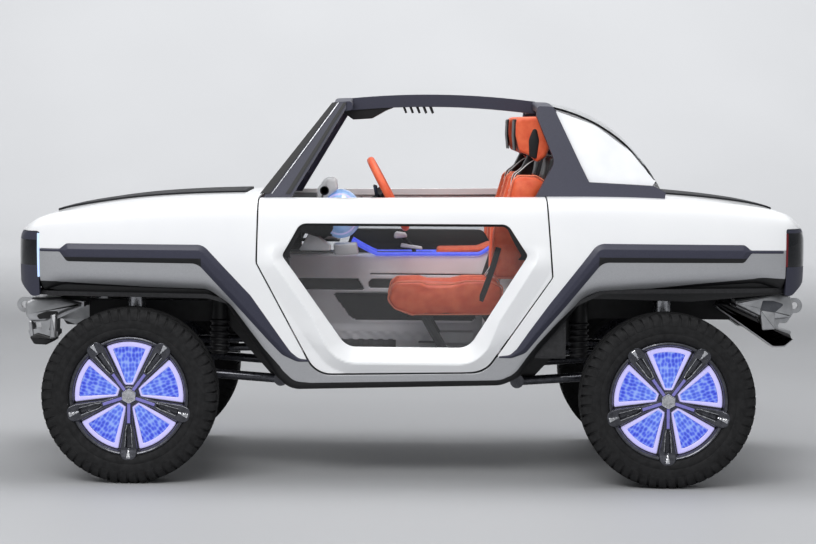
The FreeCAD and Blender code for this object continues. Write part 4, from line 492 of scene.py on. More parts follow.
# Gives a surface a rounded rim and a thickness, and closes its back.
def thickened(surface, rim, depth, steps=3):
    points, normals, faces = surface
    directed = {}
    for face in faces:
        for place, index in enumerate(face):
            directed[(index, face[(place + 1) % len(face)])] = True
    edges = [edge for edge in directed if (edge[1], edge[0]) not in directed]
    outward = np.zeros_like(points)
    for first, last in edges:
        way = np.cross(points[last] - points[first], normals[first] + normals[last])
        outward[first] += way
        outward[last] += way
    border = sorted({index for edge in edges for index in edge})
    place = {index: number for number, index in enumerate(border)}
    at, up = points[border], normals[border]
    out = outward[border]
    out = unit(out - (out * up).sum(1, keepdims=True) * up)
    allPoints, allNormals = [points], [normals]
    allFaces = list(faces)
    rings = [np.array(border)]
    total = len(points)
    for step in range(1, steps + 1):
        angle = math.pi / 2 * step / steps
        allPoints.append(at + out * rim * math.sin(angle) - up * rim * (1 - math.cos(angle)))
        allNormals.append(up * math.cos(angle) + out * math.sin(angle))
        rings.append(np.arange(total, total + len(border)))
        total += len(border)
    allPoints.append(at + out * rim - up * depth)
    allNormals.append(out)
    rings.append(np.arange(total, total + len(border)))
    total += len(border)
    back = total
    allPoints.append(points - normals * depth)
    allNormals.append(-normals)
    allFaces += [tuple(back + index for index in reversed(face)) for face in faces]
    rings.append(np.array([back + index for index in border]))
    for upper, lower in zip(rings, rings[1:]):
        for first, last in edges:
            a, b = place[first], place[last]
            allFaces.append((int(upper[b]), int(upper[a]), int(lower[a]), int(lower[b])))
    return np.vstack(allPoints), np.vstack(allNormals), allFaces


# The same surface on the car's other side.
def mirroredSurface(surface):
    points, normals, faces = surface
    flip = np.array([1.0, -1.0, 1.0])
    return points * flip, normals * flip, [tuple(reversed(face)) for face in faces]


def joinedSurfaces(surfaces):
    points, normals, faces, total = [], [], [], 0
    for somePoints, someNormals, someFaces in surfaces:
        points.append(somePoints)
        normals.append(someNormals)
        faces += [tuple(index + total for index in face) for face in someFaces]
        total += len(somePoints)
    return np.vstack(points), np.vstack(normals), faces


def meshObject(name, surface, materials, slotOf=None):
    points, normals, faces = surface
    mesh = bpy.data.meshes.new(name)
    mesh.from_pydata((points * mm).tolist(), [], faces)
    mesh.update()
    mesh.polygons.foreach_set("use_smooth", [True] * len(mesh.polygons))
    for one in materials:
        mesh.materials.append(paint[one])
    if slotOf is not None:
        mesh.polygons.foreach_set("material_index", slotOf(mesh))
    mesh.normals_split_custom_set_from_vertices([tuple(normal) for normal in normals])
    made = bpy.data.objects.new(name, mesh)
    bpy.context.scene.collection.objects.link(made)
    return made


def dress(piece, body, slot, *replaced):
    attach(piece, body)
    if replaced:
        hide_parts(*replaced)
    return piece


# The left piece and its mirror image. A body or a node named without its side gets it here.
def dressPair(name, left, body, slot, materials, replaced=None):
    for side, shape in (("left", left), ("right", mirroredSurface(left))):
        piece = meshObject(name + "_" + side, shape, materials)
        dress(piece, body if body == "root" else body + "_" + side, slot,
              *([replaced + "_" + side] if replaced else []))


# The left surface and its mirror image in one piece.
def dressBoth(name, left, slot, materials, *replaced, slotOf=None):
    dress(meshObject(name, joinedSurfaces([left, mirroredSurface(left)]), materials, slotOf), "root", slot, *replaced)


# Body outlines, in the side view (x, z) and the top view (x, y)

bodyLoop = roundedLoop([
    (-1732, 1400), (-1732, 900), (-1676, 852, 60), (-1600, 778, 30), (-1470, 814, 140), (-862, 796, 70),
    (-778, 737, 140), (-572, 444, 70), (-505, 386, 110), (390, 412, 140), (468, 444, 140), (567, 578, 140),
    (753, 798, 140), (1466, 850, 140), (1610, 812, 30), (1688, 882, 60), (1744, 922), (1744, 1400)])


def doorLoop(gap):
    return roundedLoop([
        (-642 + gap, 1400), (-652 + gap, 935), (-401 + gap * 0.6, 454 + gap, 110),
        (322 - gap * 0.6, 470 + gap, 110), (600 - gap, 885), (556 - gap, 1400)])


def windowLoop(grow):
    return roundedLoop([
        (-466 - grow * 0.3, 1104, 45), (-541 - grow, 967, 22), (-269 - grow * 0.5, 577 - grow, 80),
        (249 + grow * 0.5, 577 - grow, 80), (491 + grow, 977, 22), (405 + grow * 0.3, 1108, 45)])


def hoodLoop(gap):
    return roundedLoop([(-1560 + gap, -285 + gap, 60), (-720 - gap, -335 + gap, 8), (-720 - gap, 335 - gap, 8),
                        (-1560 + gap, 285 - gap, 60)])


def deckLoop(gap):
    return roundedLoop([(1092 + gap, -335 + gap, 8), (1590 - gap, -285 + gap, 60), (1590 - gap, 285 - gap, 60),
                        (1092 + gap, 335 - gap, 8)])


cockpitHalf = [(-600, 602, 30), (-636, 632, 8), (-636, 692, 8), (553, 692, 8), (660, 600, 30), (1040, 540, 40)]
cockpitLoop = roundedLoop([(x, -y, bend) for x, y, bend in cockpitHalf] + list(reversed(cockpitHalf)))


# The side mouldings climb 44 mm from the nose to the tail.
def rake(x):
    return 44 * (x - net["noseX"]) / (net["tailX"] - net["noseX"]) - 22


# A moulding: a bar with a groove along the fender, bending down into a thin curved dart beside the door.
def stripCorners(front):
    if front:
        side, lift, end, bend, lowBend, outer = 1, rake(-872), -1445, -872, -895, -1560
        dart = [(-673, 797), (-540, 605, 50), (-505, 556, 60), (-470, 528, 40), (-424, 522), (-424, 514),
                (-478, 513, 60), (-542, 543, 60), (-600, 604, 60), (-749, 771)]
    else:
        side, lift, end, bend, lowBend, outer = -1, rake(783), 1400, 783, 805, 1568
        dart = [(586, 772), (503, 654, 60), (452, 578, 60), (424, 552, 30), (376, 546), (376, 538),
                (432, 538, 60), (490, 560, 60), (561, 650, 60), (653, 760)]
    top = 1022 + lift
    lowEdge, groove = top - 80, top - 29.7  # the bar's lower edge and the middle of its thin outer end
    return [
        (outer, groove + 6), (end - side * 30, groove + 6), (end, top, 20), (bend, top, 60), *dart,
        (lowBend, lowEdge, 60), (end, lowEdge + 4, 20), (end - side * 30, groove - 6), (outer, groove - 6)]


frontStrip, rearStrip = stripCorners(True), stripCorners(False)
waistPoints = [
    (-1732, frontStrip[0][1]), frontStrip[0][:2], frontStrip[1][:2], (-872, frontStrip[1][1] - 4), (-708, 785),
    (-568, 604), (-523, 548), (-476, 521), (-424, 518), (0, 530), (376, 542), (426, 545), (471, 567), (533, 652),
    (618, 766), (783, rearStrip[1][1] - 4), rearStrip[1][:2], rearStrip[0][:2], (1744, rearStrip[0][1])]
upperLoop = np.array(waistPoints + [(1744, 1400), (-1732, 1400)], float)

bodyPanel = {"rim": 2.5, "depth": 9.0, "cell": 14.0, "gap": 2.5, "centreHalf": 335.0,
             "crown": (6.2, 11.8), "length": (-1671.9, 1683.9)}  # columns on top of the skin, and its whole X range
bridges = {"cowl_panel": (-719, -500), "deck_bridge": (900, 1090)}
masks = {  # where the dark masks of nose and tail end: on the flanks, on top beside the hood or deck, and in height
    "nose": {"toward": -1, "flank": 1566, "top": 1530, "topHalf": 285, "level": 1056},
    "tail": {"toward": 1, "flank": 1583, "top": 1560, "topHalf": 285, "level": 1096},
}
bodyEnds = {  # the white panel of each end: its X range and its outline seen from above
    "fender": ("nose", -1671.9, -380,
               [(-1740, -900), (-1740, -285), (-1560, -285), (-720, -335), (0, -335), (0, -900)]),
    "quarter": ("tail", 330, 1683.9,
                [(1750, -900), (1750, -285), (1590, -285), (1092, -335), (0, -335), (0, -900)]),
}


# Everything that bounds the white upper skin.
def clipUpper(surface):
    rim, gap = bodyPanel["rim"], bodyPanel["gap"]
    surface = keepInside(surface, upperLoop, sideView, rim)
    for loop, flatten in ((doorLoop(0), sideView), (cockpitLoop, topView), (hoodLoop(-gap), topView),
                          (deckLoop(-gap), topView)):
        surface = keepOutside(surface, loop, flatten, rim)
    return surface


# Cuts away what a mask covers; in the middle it runs over the top to the hood or deck.
def besideMask(surface, end):
    mask = masks[end]
    ahead, height = mask["toward"] * surface[0][:, 0], surface[0][:, 2] - mask["level"]
    flank = np.maximum(mask["flank"] - ahead, height)
    top = np.maximum(np.maximum(mask["top"] - ahead, np.abs(surface[0][:, 1]) - mask["topHalf"]), -height)
    return clipped(surface, -np.minimum(flank, top) + bodyPanel["rim"] + bodyPanel["gap"])


def makeBodyEnds():
    for name, (end, xFrom, xTo, fromAbove) in bodyEnds.items():
        surface = clipUpper(skinPatch(xFrom, xTo, 0, midParam, bodyPanel["cell"]))
        surface = keepInside(surface, np.array(fromAbove, float), topView, bodyPanel["rim"])
        left = thickened(besideMask(surface, end), bodyPanel["rim"], bodyPanel["depth"])
        dressPair(name + "Skin", left, "root", "body_white", ["whitePaint"], name)


def makeBridges():
    rim = bodyPanel["rim"]
    for name, ends in bridges.items():
        surface = clipUpper(skinPatch(*ends, *bodyPanel["crown"], bodyPanel["cell"]))
        surface = clipped(surface, np.abs(surface[0][:, 1]) - bodyPanel["centreHalf"] + rim)
        piece = meshObject(name + "Skin", thickened(surface, rim, bodyPanel["depth"]), ["whitePaint"])
        dress(piece, "root", "body_white", name)


# The flare rolls under towards the arch: the lower its edge, the tighter the roll.
flare = {
    "rollHeights": (410, 500, 700, 800), "roll": (30.0, 52.8, 66.0, 84.0), "cell": 8.0,
    "shadeBand": ((-1672, 66), (-1560, 58), (-1469, 32), (-1096, 24), (-786, 26), (-620, 34), (-550, 46), (-490, 42),
              (-420, 34), (400, 30), (500, 36), (620, 32), (700, 22), (845, 16), (994, 24), (1218, 34),
              (1443, 40), (1578, 66), (1684, 74)),
    "skirt": ((-1600, 812), (-1450, 790), (-860, 784), (860, 784), (1185, 776), (1600, 815)),
    "skirtInset": 46.0, "skirtCell": 14.0, "skirtReach": ((1490, 1550), (14, 100)), "skirtDepth": 4.0,
    "shadeBandDepth": 12.0, "columns": (0, 6.0),
}


def flareRoll(points):
    flat = sideView(points)
    roll = np.interp(flat[:, 1], flare["rollHeights"], flare["roll"])
    share = np.clip(-distanceTo(bodyLoop, flat), 0.6, roll)
    return roll - np.sqrt(np.maximum(roll ** 2 - (roll - share) ** 2, 0))


# A black band of painted shade along the flare's lower edge, where it rolls under, widest at the body's ends.
def shadeBandReach(points):
    flat = sideView(points)
    along, height = zip(*flare["shadeBand"])
    return np.interp(flat[:, 0], along, height) + distanceTo(bodyLoop, flat)


def makeFlares():
    rim = bodyPanel["rim"]
    surface = skinPatch(*bodyPanel["length"], *flare["columns"], flare["cell"])
    surface = keepInside(surface, bodyLoop, sideView, 1)
    surface = keepOutside(surface, upperLoop, sideView, rim)
    surface = keepOutside(surface, doorLoop(0), sideView, rim)
    surface = pressed(besideMask(besideMask(surface, "nose"), "tail"), flareRoll)
    silver = thickened(clipped(surface, shadeBandReach(surface[0])), rim, bodyPanel["depth"])
    dressPair("flareSkin", silver, "root", "flare_silver", ["silverPaint"], "flare")
    # Below that edge the flare is drawn black: painted shade of the roll-under.
    shadeBand = thickened(clipped(surface, -shadeBandReach(surface[0])), 1.0, flare["shadeBandDepth"], 1)
    dressBoth("shadeBands", shadeBand, "frame_black", ["blackAbs"])
    skirt = skinPatch(-1610, 1620, *flare["columns"], flare["skirtCell"])
    reach = np.interp(np.abs(skirt[0][:, 0]), *flare["skirtReach"])
    skirt = clipped(skirt, -distanceTo(bodyLoop, sideView(skirt[0])) - reach)
    along, low = zip(*flare["skirt"])
    skirt = clipped(skirt, np.interp(skirt[0][:, 0], along, low) - skirt[0][:, 2])
    skirt = thickened(shifted(skirt, -flare["skirtInset"]), 1.0, flare["skirtDepth"], 1)
    dressBoth("archSkirts", skirt, "frame_black", ["blackAbs"])


# The door: a raised frame round the window, its ridge a hand's width in from a soft crease.
door = {
    "gap": 6.0, "ridgeAt": 44.0, "ridgeHeight": 16.0, "ridgeLow": 64.0, "ridgeLowHeight": 20.0, "creaseAt": 118.0,
    "hemDepth": 6.0, "windowDepth": 18.0, "cell": 8.0, "depth": 30.0, "side": 698.0, "fadeAt": 1030, "fade": 110,
    "paneInset": 21.0, "borderInset": 17.5, "ridgeHeights": (590, 700), "hemHeights": (560, 640),
}


def eased(share):
    return share * share * (3 - 2 * share)


def doorShape(points):
    flat = sideView(points)
    away = np.maximum(distanceTo(windowLoop(0), flat), 0)
    ridge = np.interp(flat[:, 1], door["ridgeHeights"], (door["ridgeLow"], door["ridgeAt"]))
    rising = np.clip(away / ridge, 0, 1)
    falling = np.clip((away - ridge) / (door["creaseAt"] - ridge), 0, 1)
    height = np.interp(flat[:, 1], door["ridgeHeights"], (door["ridgeLowHeight"], door["ridgeHeight"]))
    low = np.interp(flat[:, 1], door["hemHeights"], (door["hemDepth"], 0))
    profile = door["windowDepth"] * (1 - rising) + height * (falling - rising) + low * falling
    return profile * eased(np.clip((door["fadeAt"] - flat[:, 1]) / door["fade"], 0, 1))


def makeDoors():
    rim = bodyPanel["rim"]
    surface = keepInside(skinPatch(-660, 610, 0, midParam, door["cell"]), doorLoop(door["gap"]), sideView, rim)
    surface = clipped(surface, door["side"] + surface[0][:, 1] + rim)
    surface = keepOutside(surface, windowLoop(0), sideView, rim)
    left = thickened(pressed(surface, doorShape, 3.0), rim, door["depth"])
    dressPair("doorSkin", left, "door", "body_white", ["whitePaint"], "door")


# Door panes: flush sheets held inside the frame's inner edge.
def makeDoorPanes():
    surface = keepInside(skinPatch(-610, 570, 0, midParam, 14.0), windowLoop(6), sideView)
    left = thickened(shifted(surface, -door["paneInset"]), 0.5, 4.0, 1)
    dressPair("doorPane", left, "door", "clear_glass", ["tintedGlass"], "door_glass")


# The screen: one bowed sheet, leaning back, narrower at its top.
screen = {"foot": 1223.0, "footDrop": 10.5, "top": 1600.0, "footX": -617.4, "lean": 0.7565, "bow": (37.0, 8.0),
          "half": (618.0, 526.0), "wall": 5.0, "columns": 41, "rows": 21}


def screenPoint(across, rise):
    foot = screen["foot"] - screen["footDrop"] * across ** 2
    z = foot + (screen["top"] - foot) * rise
    share = (z - screen["foot"]) / (screen["top"] - screen["foot"])
    half, bow = (screen[size][0] + (screen[size][1] - screen[size][0]) * share for size in ("half", "bow"))
    return np.array([screen["footX"] + screen["lean"] * (z - screen["foot"]) + bow * across ** 2, half * across, z])


def makeScreenPane():
    points, normals, probe = [], [], 0.01
    for rise in np.linspace(0, 1, screen["rows"]):
        for across in np.linspace(-1, 1, screen["columns"]):
            points.append(screenPoint(across, rise))
            upward = screenPoint(across, rise + probe) - screenPoint(across, rise - probe)
            sideways = screenPoint(across + probe, rise) - screenPoint(across - probe, rise)
            normals.append(np.cross(upward, sideways))
    sheet = (np.array(points), unit(np.array(normals)), gridFaces(screen["rows"], screen["columns"]))
    pane = meshObject("screenPane", thickened(sheet, 0.5, screen["wall"], 1), ["tintedGlass"])
    dress(pane, "root", "clear_glass", "windscreen_glass")


# A black border on the upper corners and top edge of each door window.
printed = {"foot": 958, "heights": (958, 965, 1040), "widths": (24, 22, 18, 9), "topInset": 12, "cell": 6.0}


def makeWindowBorders():
    loop, top = windowLoop(-1), windowLoop(0)[:, 1].max()
    surface = keepInside(skinPatch(-600, 560, 0, midParam, printed["cell"]), loop, sideView)
    flat = sideView(surface[0])
    width = np.interp(flat[:, 1], (*printed["heights"], top - printed["topInset"]), printed["widths"])
    surface = clipped(surface, -distanceTo(loop, flat) - width)
    surface = clipped(surface, printed["foot"] - surface[0][:, 2])
    left = thickened(shifted(surface, -door["borderInset"]), 0.5, 3.0, 1)
    dressPair("windowBorder", left, "door", "cabin_dark", ["blackAbs"])


# Side mouldings: a long ridged dart in slate; its faces below the ridge are drawn black, painted shade for the facet
# that turns down.
strip = {"slope": 0.5, "height": 12.0, "cell": 6.0, "floor": 1.0, "shadeDrop": 32.0, "shadeFrom": (-878, 790),
         "ranges": ((-1570, -400), (350, 1578)), "columns": (0, 5.5)}


def makeMouldings():
    pieces = []
    for corners, ends in zip((frontStrip, rearStrip), strip["ranges"]):
        loop = roundedLoop(corners)

        def proud(points):
            inside = -distanceTo(loop, sideView(points))
            return -np.clip(strip["floor"] + inside * strip["slope"], 0, strip["height"])

        surface = keepInside(skinPatch(*ends, *strip["columns"], strip["cell"]), loop, sideView, 0.5)
        pieces.append(thickened(pressed(surface, proud, 2.0), 0.5, 4.0, 1))

    # Faces low on the fender and quarter bars take black: painted shade.
    def shadedFacet(mesh):
        front, rear = strip["shadeFrom"]
        frontLevel, rearLevel = frontStrip[0][1] - strip["shadeDrop"], rearStrip[0][1] - strip["shadeDrop"]
        middles = [polygon.center / mm for polygon in mesh.polygons]
        return [1 if (spot.x < front and spot.z < frontLevel) or (spot.x > rear and spot.z < rearLevel) else 0
                for spot in middles]

    dressBoth("mouldingDarts", joinedSurfaces(pieces), "slate_trim", ["slateAbs", "blackAbs"], "side_mouldings",
              slotOf=shadedFacet)


lid = {"rim": 4.0, "raise": 8.0, "depth": 18.0}


def makeLids():
    for name, loop, xFrom, xTo, body in (("hood", hoodLoop(5), -1566, -716, "hood"),
                                         ("rear_deck", deckLoop(0.3), 1088, 1594, "root")):
        surface = skinPatch(xFrom, xTo, *bodyPanel["crown"], bodyPanel["cell"])
        surface = keepInside(surface, loop, topView, lid["rim"])
        raised = thickened(shifted(surface, lid["raise"]), lid["rim"], lid["depth"])
        dress(meshObject(name + "Skin", raised, ["satinAbs"]), body, "slate_trim", name)


for make in (makeBodyEnds, makeBridges, makeFlares, makeDoors, makeDoorPanes, makeScreenPane, makeWindowBorders,
             makeMouldings, makeLids):
    make()
print("skin made")


# A mesh straight from points and faces, its normals left to the angle between faces.
def plainMesh(name, points, faces, materials, slots=None, sharp=38.0, outward=True):
    mesh = bpy.data.meshes.new(name)
    mesh.from_pydata((np.asarray(points) * mm).tolist(), [], faces)
    if outward:
        form = bmesh.new()
        form.from_mesh(mesh)
        bmesh.ops.recalc_face_normals(form, faces=form.faces)
        form.to_mesh(mesh)
        form.free()
    for one in materials:
        mesh.materials.append(paint[one])
    if slots is not None:
        mesh.polygons.foreach_set("material_index", slots)
    mesh.polygons.foreach_set("use_smooth", [True] * len(mesh.polygons))
    mesh.set_sharp_from_angle(angle=math.radians(sharp))
    made = bpy.data.objects.new(name, mesh)
    bpy.context.scene.collection.objects.link(made)
    return made


def merged(parts):
    points, faces, slots, total = [], [], [], 0
    for somePoints, someFaces, slot in parts:
        points.append(np.asarray(somePoints, float))
        faces += [tuple(index + total for index in face) for face in someFaces]
        slots += slot if isinstance(slot, list) else [slot] * len(someFaces)
        total += len(somePoints)
    return np.vstack(points), faces, slots


# Turns a closed profile of (outward, radius) about the wheel's axle; the wheel faces -Y.
def turned(profile, steps, closed=True, radiusAt=None):
    points = []
    for step in range(steps):
        angle = 2 * math.pi * step / steps
        share = radiusAt(angle) if radiusAt else 1.0
        for outward, radius in profile:
            points.append((radius * share * math.cos(angle), -outward, radius * share * math.sin(angle)))
    return points, gridFaces(steps, len(profile), True, closed)


def atAngle(angle, outward, radius):
    turn = math.radians(angle)
    return (radius * math.cos(turn), -outward, radius * math.sin(turn))


# Wheels: off-road tyre, five split spokes, five lit panels

wheelAt = {"front": -1180, "rear": 1090, "side": 720, "height": 370}
tyre = {
    "steps": 120, "lugs": 54, "lugHalf": 2.35, "baseHalf": 2.75, "skew": 1.7, "base": 357,
    "half": [(0, 361), (40, 360.5), (74, 359.5), (84, 356), (92, 349), (97, 340), (99.8, 329), (101.2, 317),
             (101.6, 304), (100.8, 292), (98.8, 287), (100.2, 281), (99.2, 272), (96.5, 263), (91, 256), (84, 252)],
    "shoulder": [(66, 369.8), (78, 369), (88, 364), (95, 355), (99.5, 344), (101.9, 332), (102.2, 322)],
    "shoulderBase": [(64, 357), (76, 355), (84, 350), (91, 343), (96, 336), (98.5, 328), (99.5, 320)],
    "blocks": ((35, 61, 369.9, 0.5), (4, 31, 370, 0.0)),  # from, to, height, and the shift round the tyre in pitches
}


# One lug over the tyre's shoulder: its top and its wider foot, each with two edges.
def shoulderLug(middle, side):
    count, points, faces = len(tyre["shoulder"]), [], []
    for profile, half in ((tyre["shoulder"], tyre["lugHalf"]), (tyre["shoulderBase"], tyre["baseHalf"])):
        for end in (-half, half):
            points += [atAngle(middle + end + tyre["skew"] * (90 - outward) / 52, side * outward, radius)
                       for outward, radius in profile]
    for row in range(count - 1):
        faces.append((row, row + 1, count + row + 1, count + row))
        faces.append((row, 2 * count + row, 2 * count + row + 1, row + 1))
        faces.append((count + row, count + row + 1, 3 * count + row + 1, 3 * count + row))
    faces.append((0, count, 3 * count, 2 * count))
    faces.append((count - 1, 3 * count - 1, 4 * count - 1, 2 * count - 1))
    return points, faces, 0


def treadBlock(centre, side, low, high, top):
    ring = []
    for height, grow in ((top, 0), (tyre["base"], 0.35)):
        for outward, end in ((low, -1), (high, -1), (high, 1), (low, 1)):
            slide = tyre["skew"] * (1 if outward == high else -1)
            spread = (tyre["lugHalf"] + grow) * end
            ring.append(atAngle(centre + spread + slide, side * outward, height))
    return ring, [(0, 1, 2, 3), (0, 4, 5, 1), (1, 5, 6, 2), (2, 6, 7, 3), (3, 7, 4, 0)], 0


def makeTyreForm():
    profile = tyre["half"][::-1] + [(-outward, radius) for outward, radius in tyre["half"][1:]]
    parts = [(*turned(profile, tyre["steps"]), 0)]
    pitch = 360 / tyre["lugs"]
    for lug in range(tyre["lugs"]):
        for side in (1, -1):
            middle = pitch * (lug + (0.5 if side < 0 else 0))
            parts.append(shoulderLug(middle, side))
            for low, high, top, shift in tyre["blocks"]:
                parts.append(treadBlock(middle + pitch * shift, side, low, high, top))
    return merged(parts)


spoke = {
    "radii": (30, 50, 110, 180, 226, 250, 262, 268), "halves": (15, 15, 17, 30, 38, 36, 29, 18),
    "dishAt": (30, 80, 150, 226, 256, 268), "dish": (77, 80, 85, 92, 100, 99), "floor": 62,
    "slotFrom": 124, "slotTo": 216, "slotDepth": 20, "slotWall": 2.2, "slotHalf": ((124, 140, 216), (5, 9, 12.5)),
    "ridge": 4.0, "ridgeHalf": 7.0, "ridgeTo": 122, "violetHalf": 6.5, "violetTo": 116,
    "wedgeFrom": 219, "wedgeTo": 263, "wedgeHalf": ((219, 262), (2.5, 11)), "wedgeRise": 2.5,
    "edgeFall": 7, "edgeWidth": 6, "crown": 0.07, "columns": 35, "rowStep": 3.5, "tipStep": 1.5,
}


# Height of the spoke's face, and its finish: 0 lacquered, 1 machined, 2 painted violet glow of the panels' light.
def spokeHeight(radius, across, half):
    height = np.interp(radius, spoke["dishAt"], spoke["dish"])
    edge = half - abs(across)
    height -= spoke["edgeFall"] * max(0.0, 1 - edge / spoke["edgeWidth"]) ** 2 + spoke["crown"] * abs(across)
    if radius < spoke["ridgeTo"]:
        height += spoke["ridge"] * np.clip((spoke["ridgeHalf"] + 2.5 - abs(across)) / 3, 0, 1)
    slotHalf, wedgeHalf = np.interp(radius, *spoke["slotHalf"]), np.interp(radius, *spoke["wedgeHalf"])
    reach = min(slotHalf - abs(across), radius - spoke["slotFrom"], spoke["slotTo"] - radius)
    height -= spoke["slotDepth"] * np.clip(reach / spoke["slotWall"], 0, 1)
    wedge = min(wedgeHalf - abs(across), radius - spoke["wedgeFrom"], spoke["wedgeTo"] - radius)
    # The middle of the ridge takes the painted violet glow.
    violet = radius < spoke["violetTo"] and abs(across) < spoke["violetHalf"]
    finish = 1 if wedge > 0.4 or -4.5 < reach < -0.8 else 2 if violet else 0  # round the slot and on the tip's wedge
    return height + spoke["wedgeRise"] * np.clip(wedge / 1.5, 0, 1), finish


def makeSpokeForm():
    radii = np.concatenate([np.arange(30, 250, spoke["rowStep"]), np.arange(250, 268.1, spoke["tipStep"])])
    spread = np.linspace(-1, 1, spoke["columns"])
    spread = np.sign(spread) * np.abs(spread) ** 0.85
    rows, finish = [], []
    for radius in radii:
        half = float(np.interp(radius, spoke["radii"], spoke["halves"]))
        heights, marks = zip(*[spokeHeight(radius, share * half, half) for share in spread])
        row = [(-half, spoke["floor"]), *zip(spread * half, heights), (half, spoke["floor"])]
        rows.append([(across, -height, -radius) for across, height in row])
        finish.append([0, *marks, 0])
    rows.append([(across, -spoke["floor"], z - 0.5) for across, _, z in rows[-1]])
    finish.append([0] * len(finish[0]))
    width, slots = len(rows[0]), []
    for i in range(len(rows) - 1):
        for j in range(width - 1):
            corners = {finish[i][j], finish[i][j + 1], finish[i + 1][j]}
            slots.append(corners.pop() if len(corners) == 1 else 0)
    return [point for row in rows for point in row], gridFaces(len(rows), width, flip=True), slots


def turnedAbout(points, degrees):
    turn = math.radians(degrees)
    points = np.asarray(points, float)
    x, z = points[:, 0].copy(), points[:, 2].copy()
    return np.column_stack([x * math.cos(turn) - z * math.sin(turn), points[:, 1],
                            x * math.sin(turn) + z * math.cos(turn)])


# The hub cap is a rounded hexagon.
def capRadius(angle):
    turn = (angle + math.pi / 6) % (math.pi / 3) - math.pi / 6
    return min(1 / math.cos(turn), 1.115)


wheelRim = {  # turned parts as (outward, radius)
    "lip": [(83, 252), (87, 249.5), (88.5, 245), (86.5, 240), (80, 235), (66, 231), (50, 229), (-62, 226),
            (-78, 238), (-84, 246), (-90, 249), (-90, 253), (-80, 254), (-70, 252), (60, 240), (76, 252)],
    "back": [(60, 40), (60, 228), (50, 230), (46, 226), (44, 70), (-38, 64), (-40, 30), (-30, 26)],
    "hub": [(72, 44), (76, 42), (78.5, 38), (79, 33), (82, 30), (60, 24), (60, 44)],
    "cap": [(78, 29), (85.5, 29), (88, 27.5), (89, 23.5), (88.4, 19), (87.6, 16), (87.4, 8), (87.4, 0.3)],
}


def makeRimForm():
    parts = [(*turned(wheelRim[name], steps), 0) for name, steps in (("lip", 96), ("back", 72), ("hub", 48))]
    points, faces, slots = makeSpokeForm()
    parts += [(turnedAbout(points, turn * 72), faces, slots) for turn in range(5)]
    parts.append((*turned(wheelRim["cap"], 60, False, capRadius), 1))
    return merged(parts)


panel = {"outer": 229.0, "inner": 46.0, "innerHalf": 18.0, "halfAngle": 24.7, "cell": 5.0, "surface": 67.0,
         "border": 6.5, "recess": 3.0, "field": ((46, 120, 215), (8, 15, 21))}


def makePanelForms():
    angles = np.radians(np.linspace(-panel["halfAngle"], panel["halfAngle"], 14))
    arc = [(panel["outer"] * math.sin(angle), panel["outer"] * math.cos(angle)) for angle in angles]
    arc[0], arc[-1] = (*arc[0], 5), (*arc[-1], 5)
    loop = roundedLoop([(panel["innerHalf"], panel["inner"], 5), (-panel["innerHalf"], panel["inner"], 5)] + arc)

    # How far a place lies inside the panel's edge, and how much of the border's width is left there.
    def edgeAndRest(points):
        away = -distanceTo(loop, sideView(points))
        return away, np.interp(points[:, 2], *panel["field"]) - away

    def borderDepth(points):
        away, rest = edgeAndRest(points)
        rounding = np.clip(np.minimum(away, rest + 1.5) / 5, 0, 1)
        return panel["border"] * (1 - np.sqrt(np.maximum(1 - (1 - rounding) ** 2, 0)))

    def glowDepth(points):
        return np.full(len(points), panel["border"] + panel["recess"])

    whole = flatSheet(np.arange(-104, 104.1, panel["cell"]), np.arange(40, 236.1, panel["cell"]),
                      -panel["surface"] - panel["border"])
    whole = keepInside(whole, loop, sideView)
    border = clipped(whole, -edgeAndRest(whole[0])[1])
    glow = clipped(whole, edgeAndRest(whole[0])[1])
    return thickened(pressed(border, borderDepth, 1.0), 0.4, 10.0, 1), pressed(glow, glowDepth, 1.0)


# Writes each panel's own flat place into its UV map, for the diamonds.
def mapPanels(piece, points):
    corners = np.zeros(len(piece.data.loops), int)
    piece.data.loops.foreach_get("vertex_index", corners)
    flat = np.tile(sideView(points) * mm, (5, 1))
    piece.data.uv_layers.new(name="panelPlace").data.foreach_set("uv", flat[corners].ravel())


def makeWheels():
    (tyrePoints, tyreFaces, _), (rimPoints, rimFaces, rimSlots) = makeTyreForm(), makeRimForm()
    border, glow = makePanelForms()
    for end in ("front", "rear"):
        for side, flip in (("left", 1), ("right", -1)):
            tag = end + "_" + side
            body = "wheel_" + tag

            def placed(points):
                return np.asarray(points) * (1, flip, 1) + (wheelAt[end], -wheelAt["side"] * flip, wheelAt["height"])

            def facing(faces):
                return faces if flip > 0 else [tuple(reversed(face)) for face in faces]

            rubber = plainMesh("tyreTreaded_" + tag, placed(tyrePoints), tyreFaces, ["tyreRubber"], None, 30)
            dress(rubber, body, "tyre_rubber", "tyre_" + tag)
            alloy = plainMesh("rimSpokes_" + tag, placed(rimPoints), facing(rimFaces),
                              ["gunmetalAlloy", "machinedAlloy", "violetSpillGlow"], rimSlots, 32, False)
            dress(alloy, body, "rim_dark", "rim_" + tag)
            for name, (points, normals, faces), finish, replaced in (
                    ("panelBorders_", border, "lightGuide", ()),
                    ("panelGlow_", glow, "litAcrylic", ("wheel_lights_" + tag,))):
                copies = [(placed(turnedAbout(points, turn * 72)), turnedAbout(normals, turn * 72) * (1, flip, 1),
                           facing(faces)) for turn in range(5)]
                piece = meshObject(name + tag, joinedSurfaces(copies), [finish])
                mapPanels(piece, points)
                dress(piece, body, "light_blue", *replaced)


makeWheels()
print("wheels made")


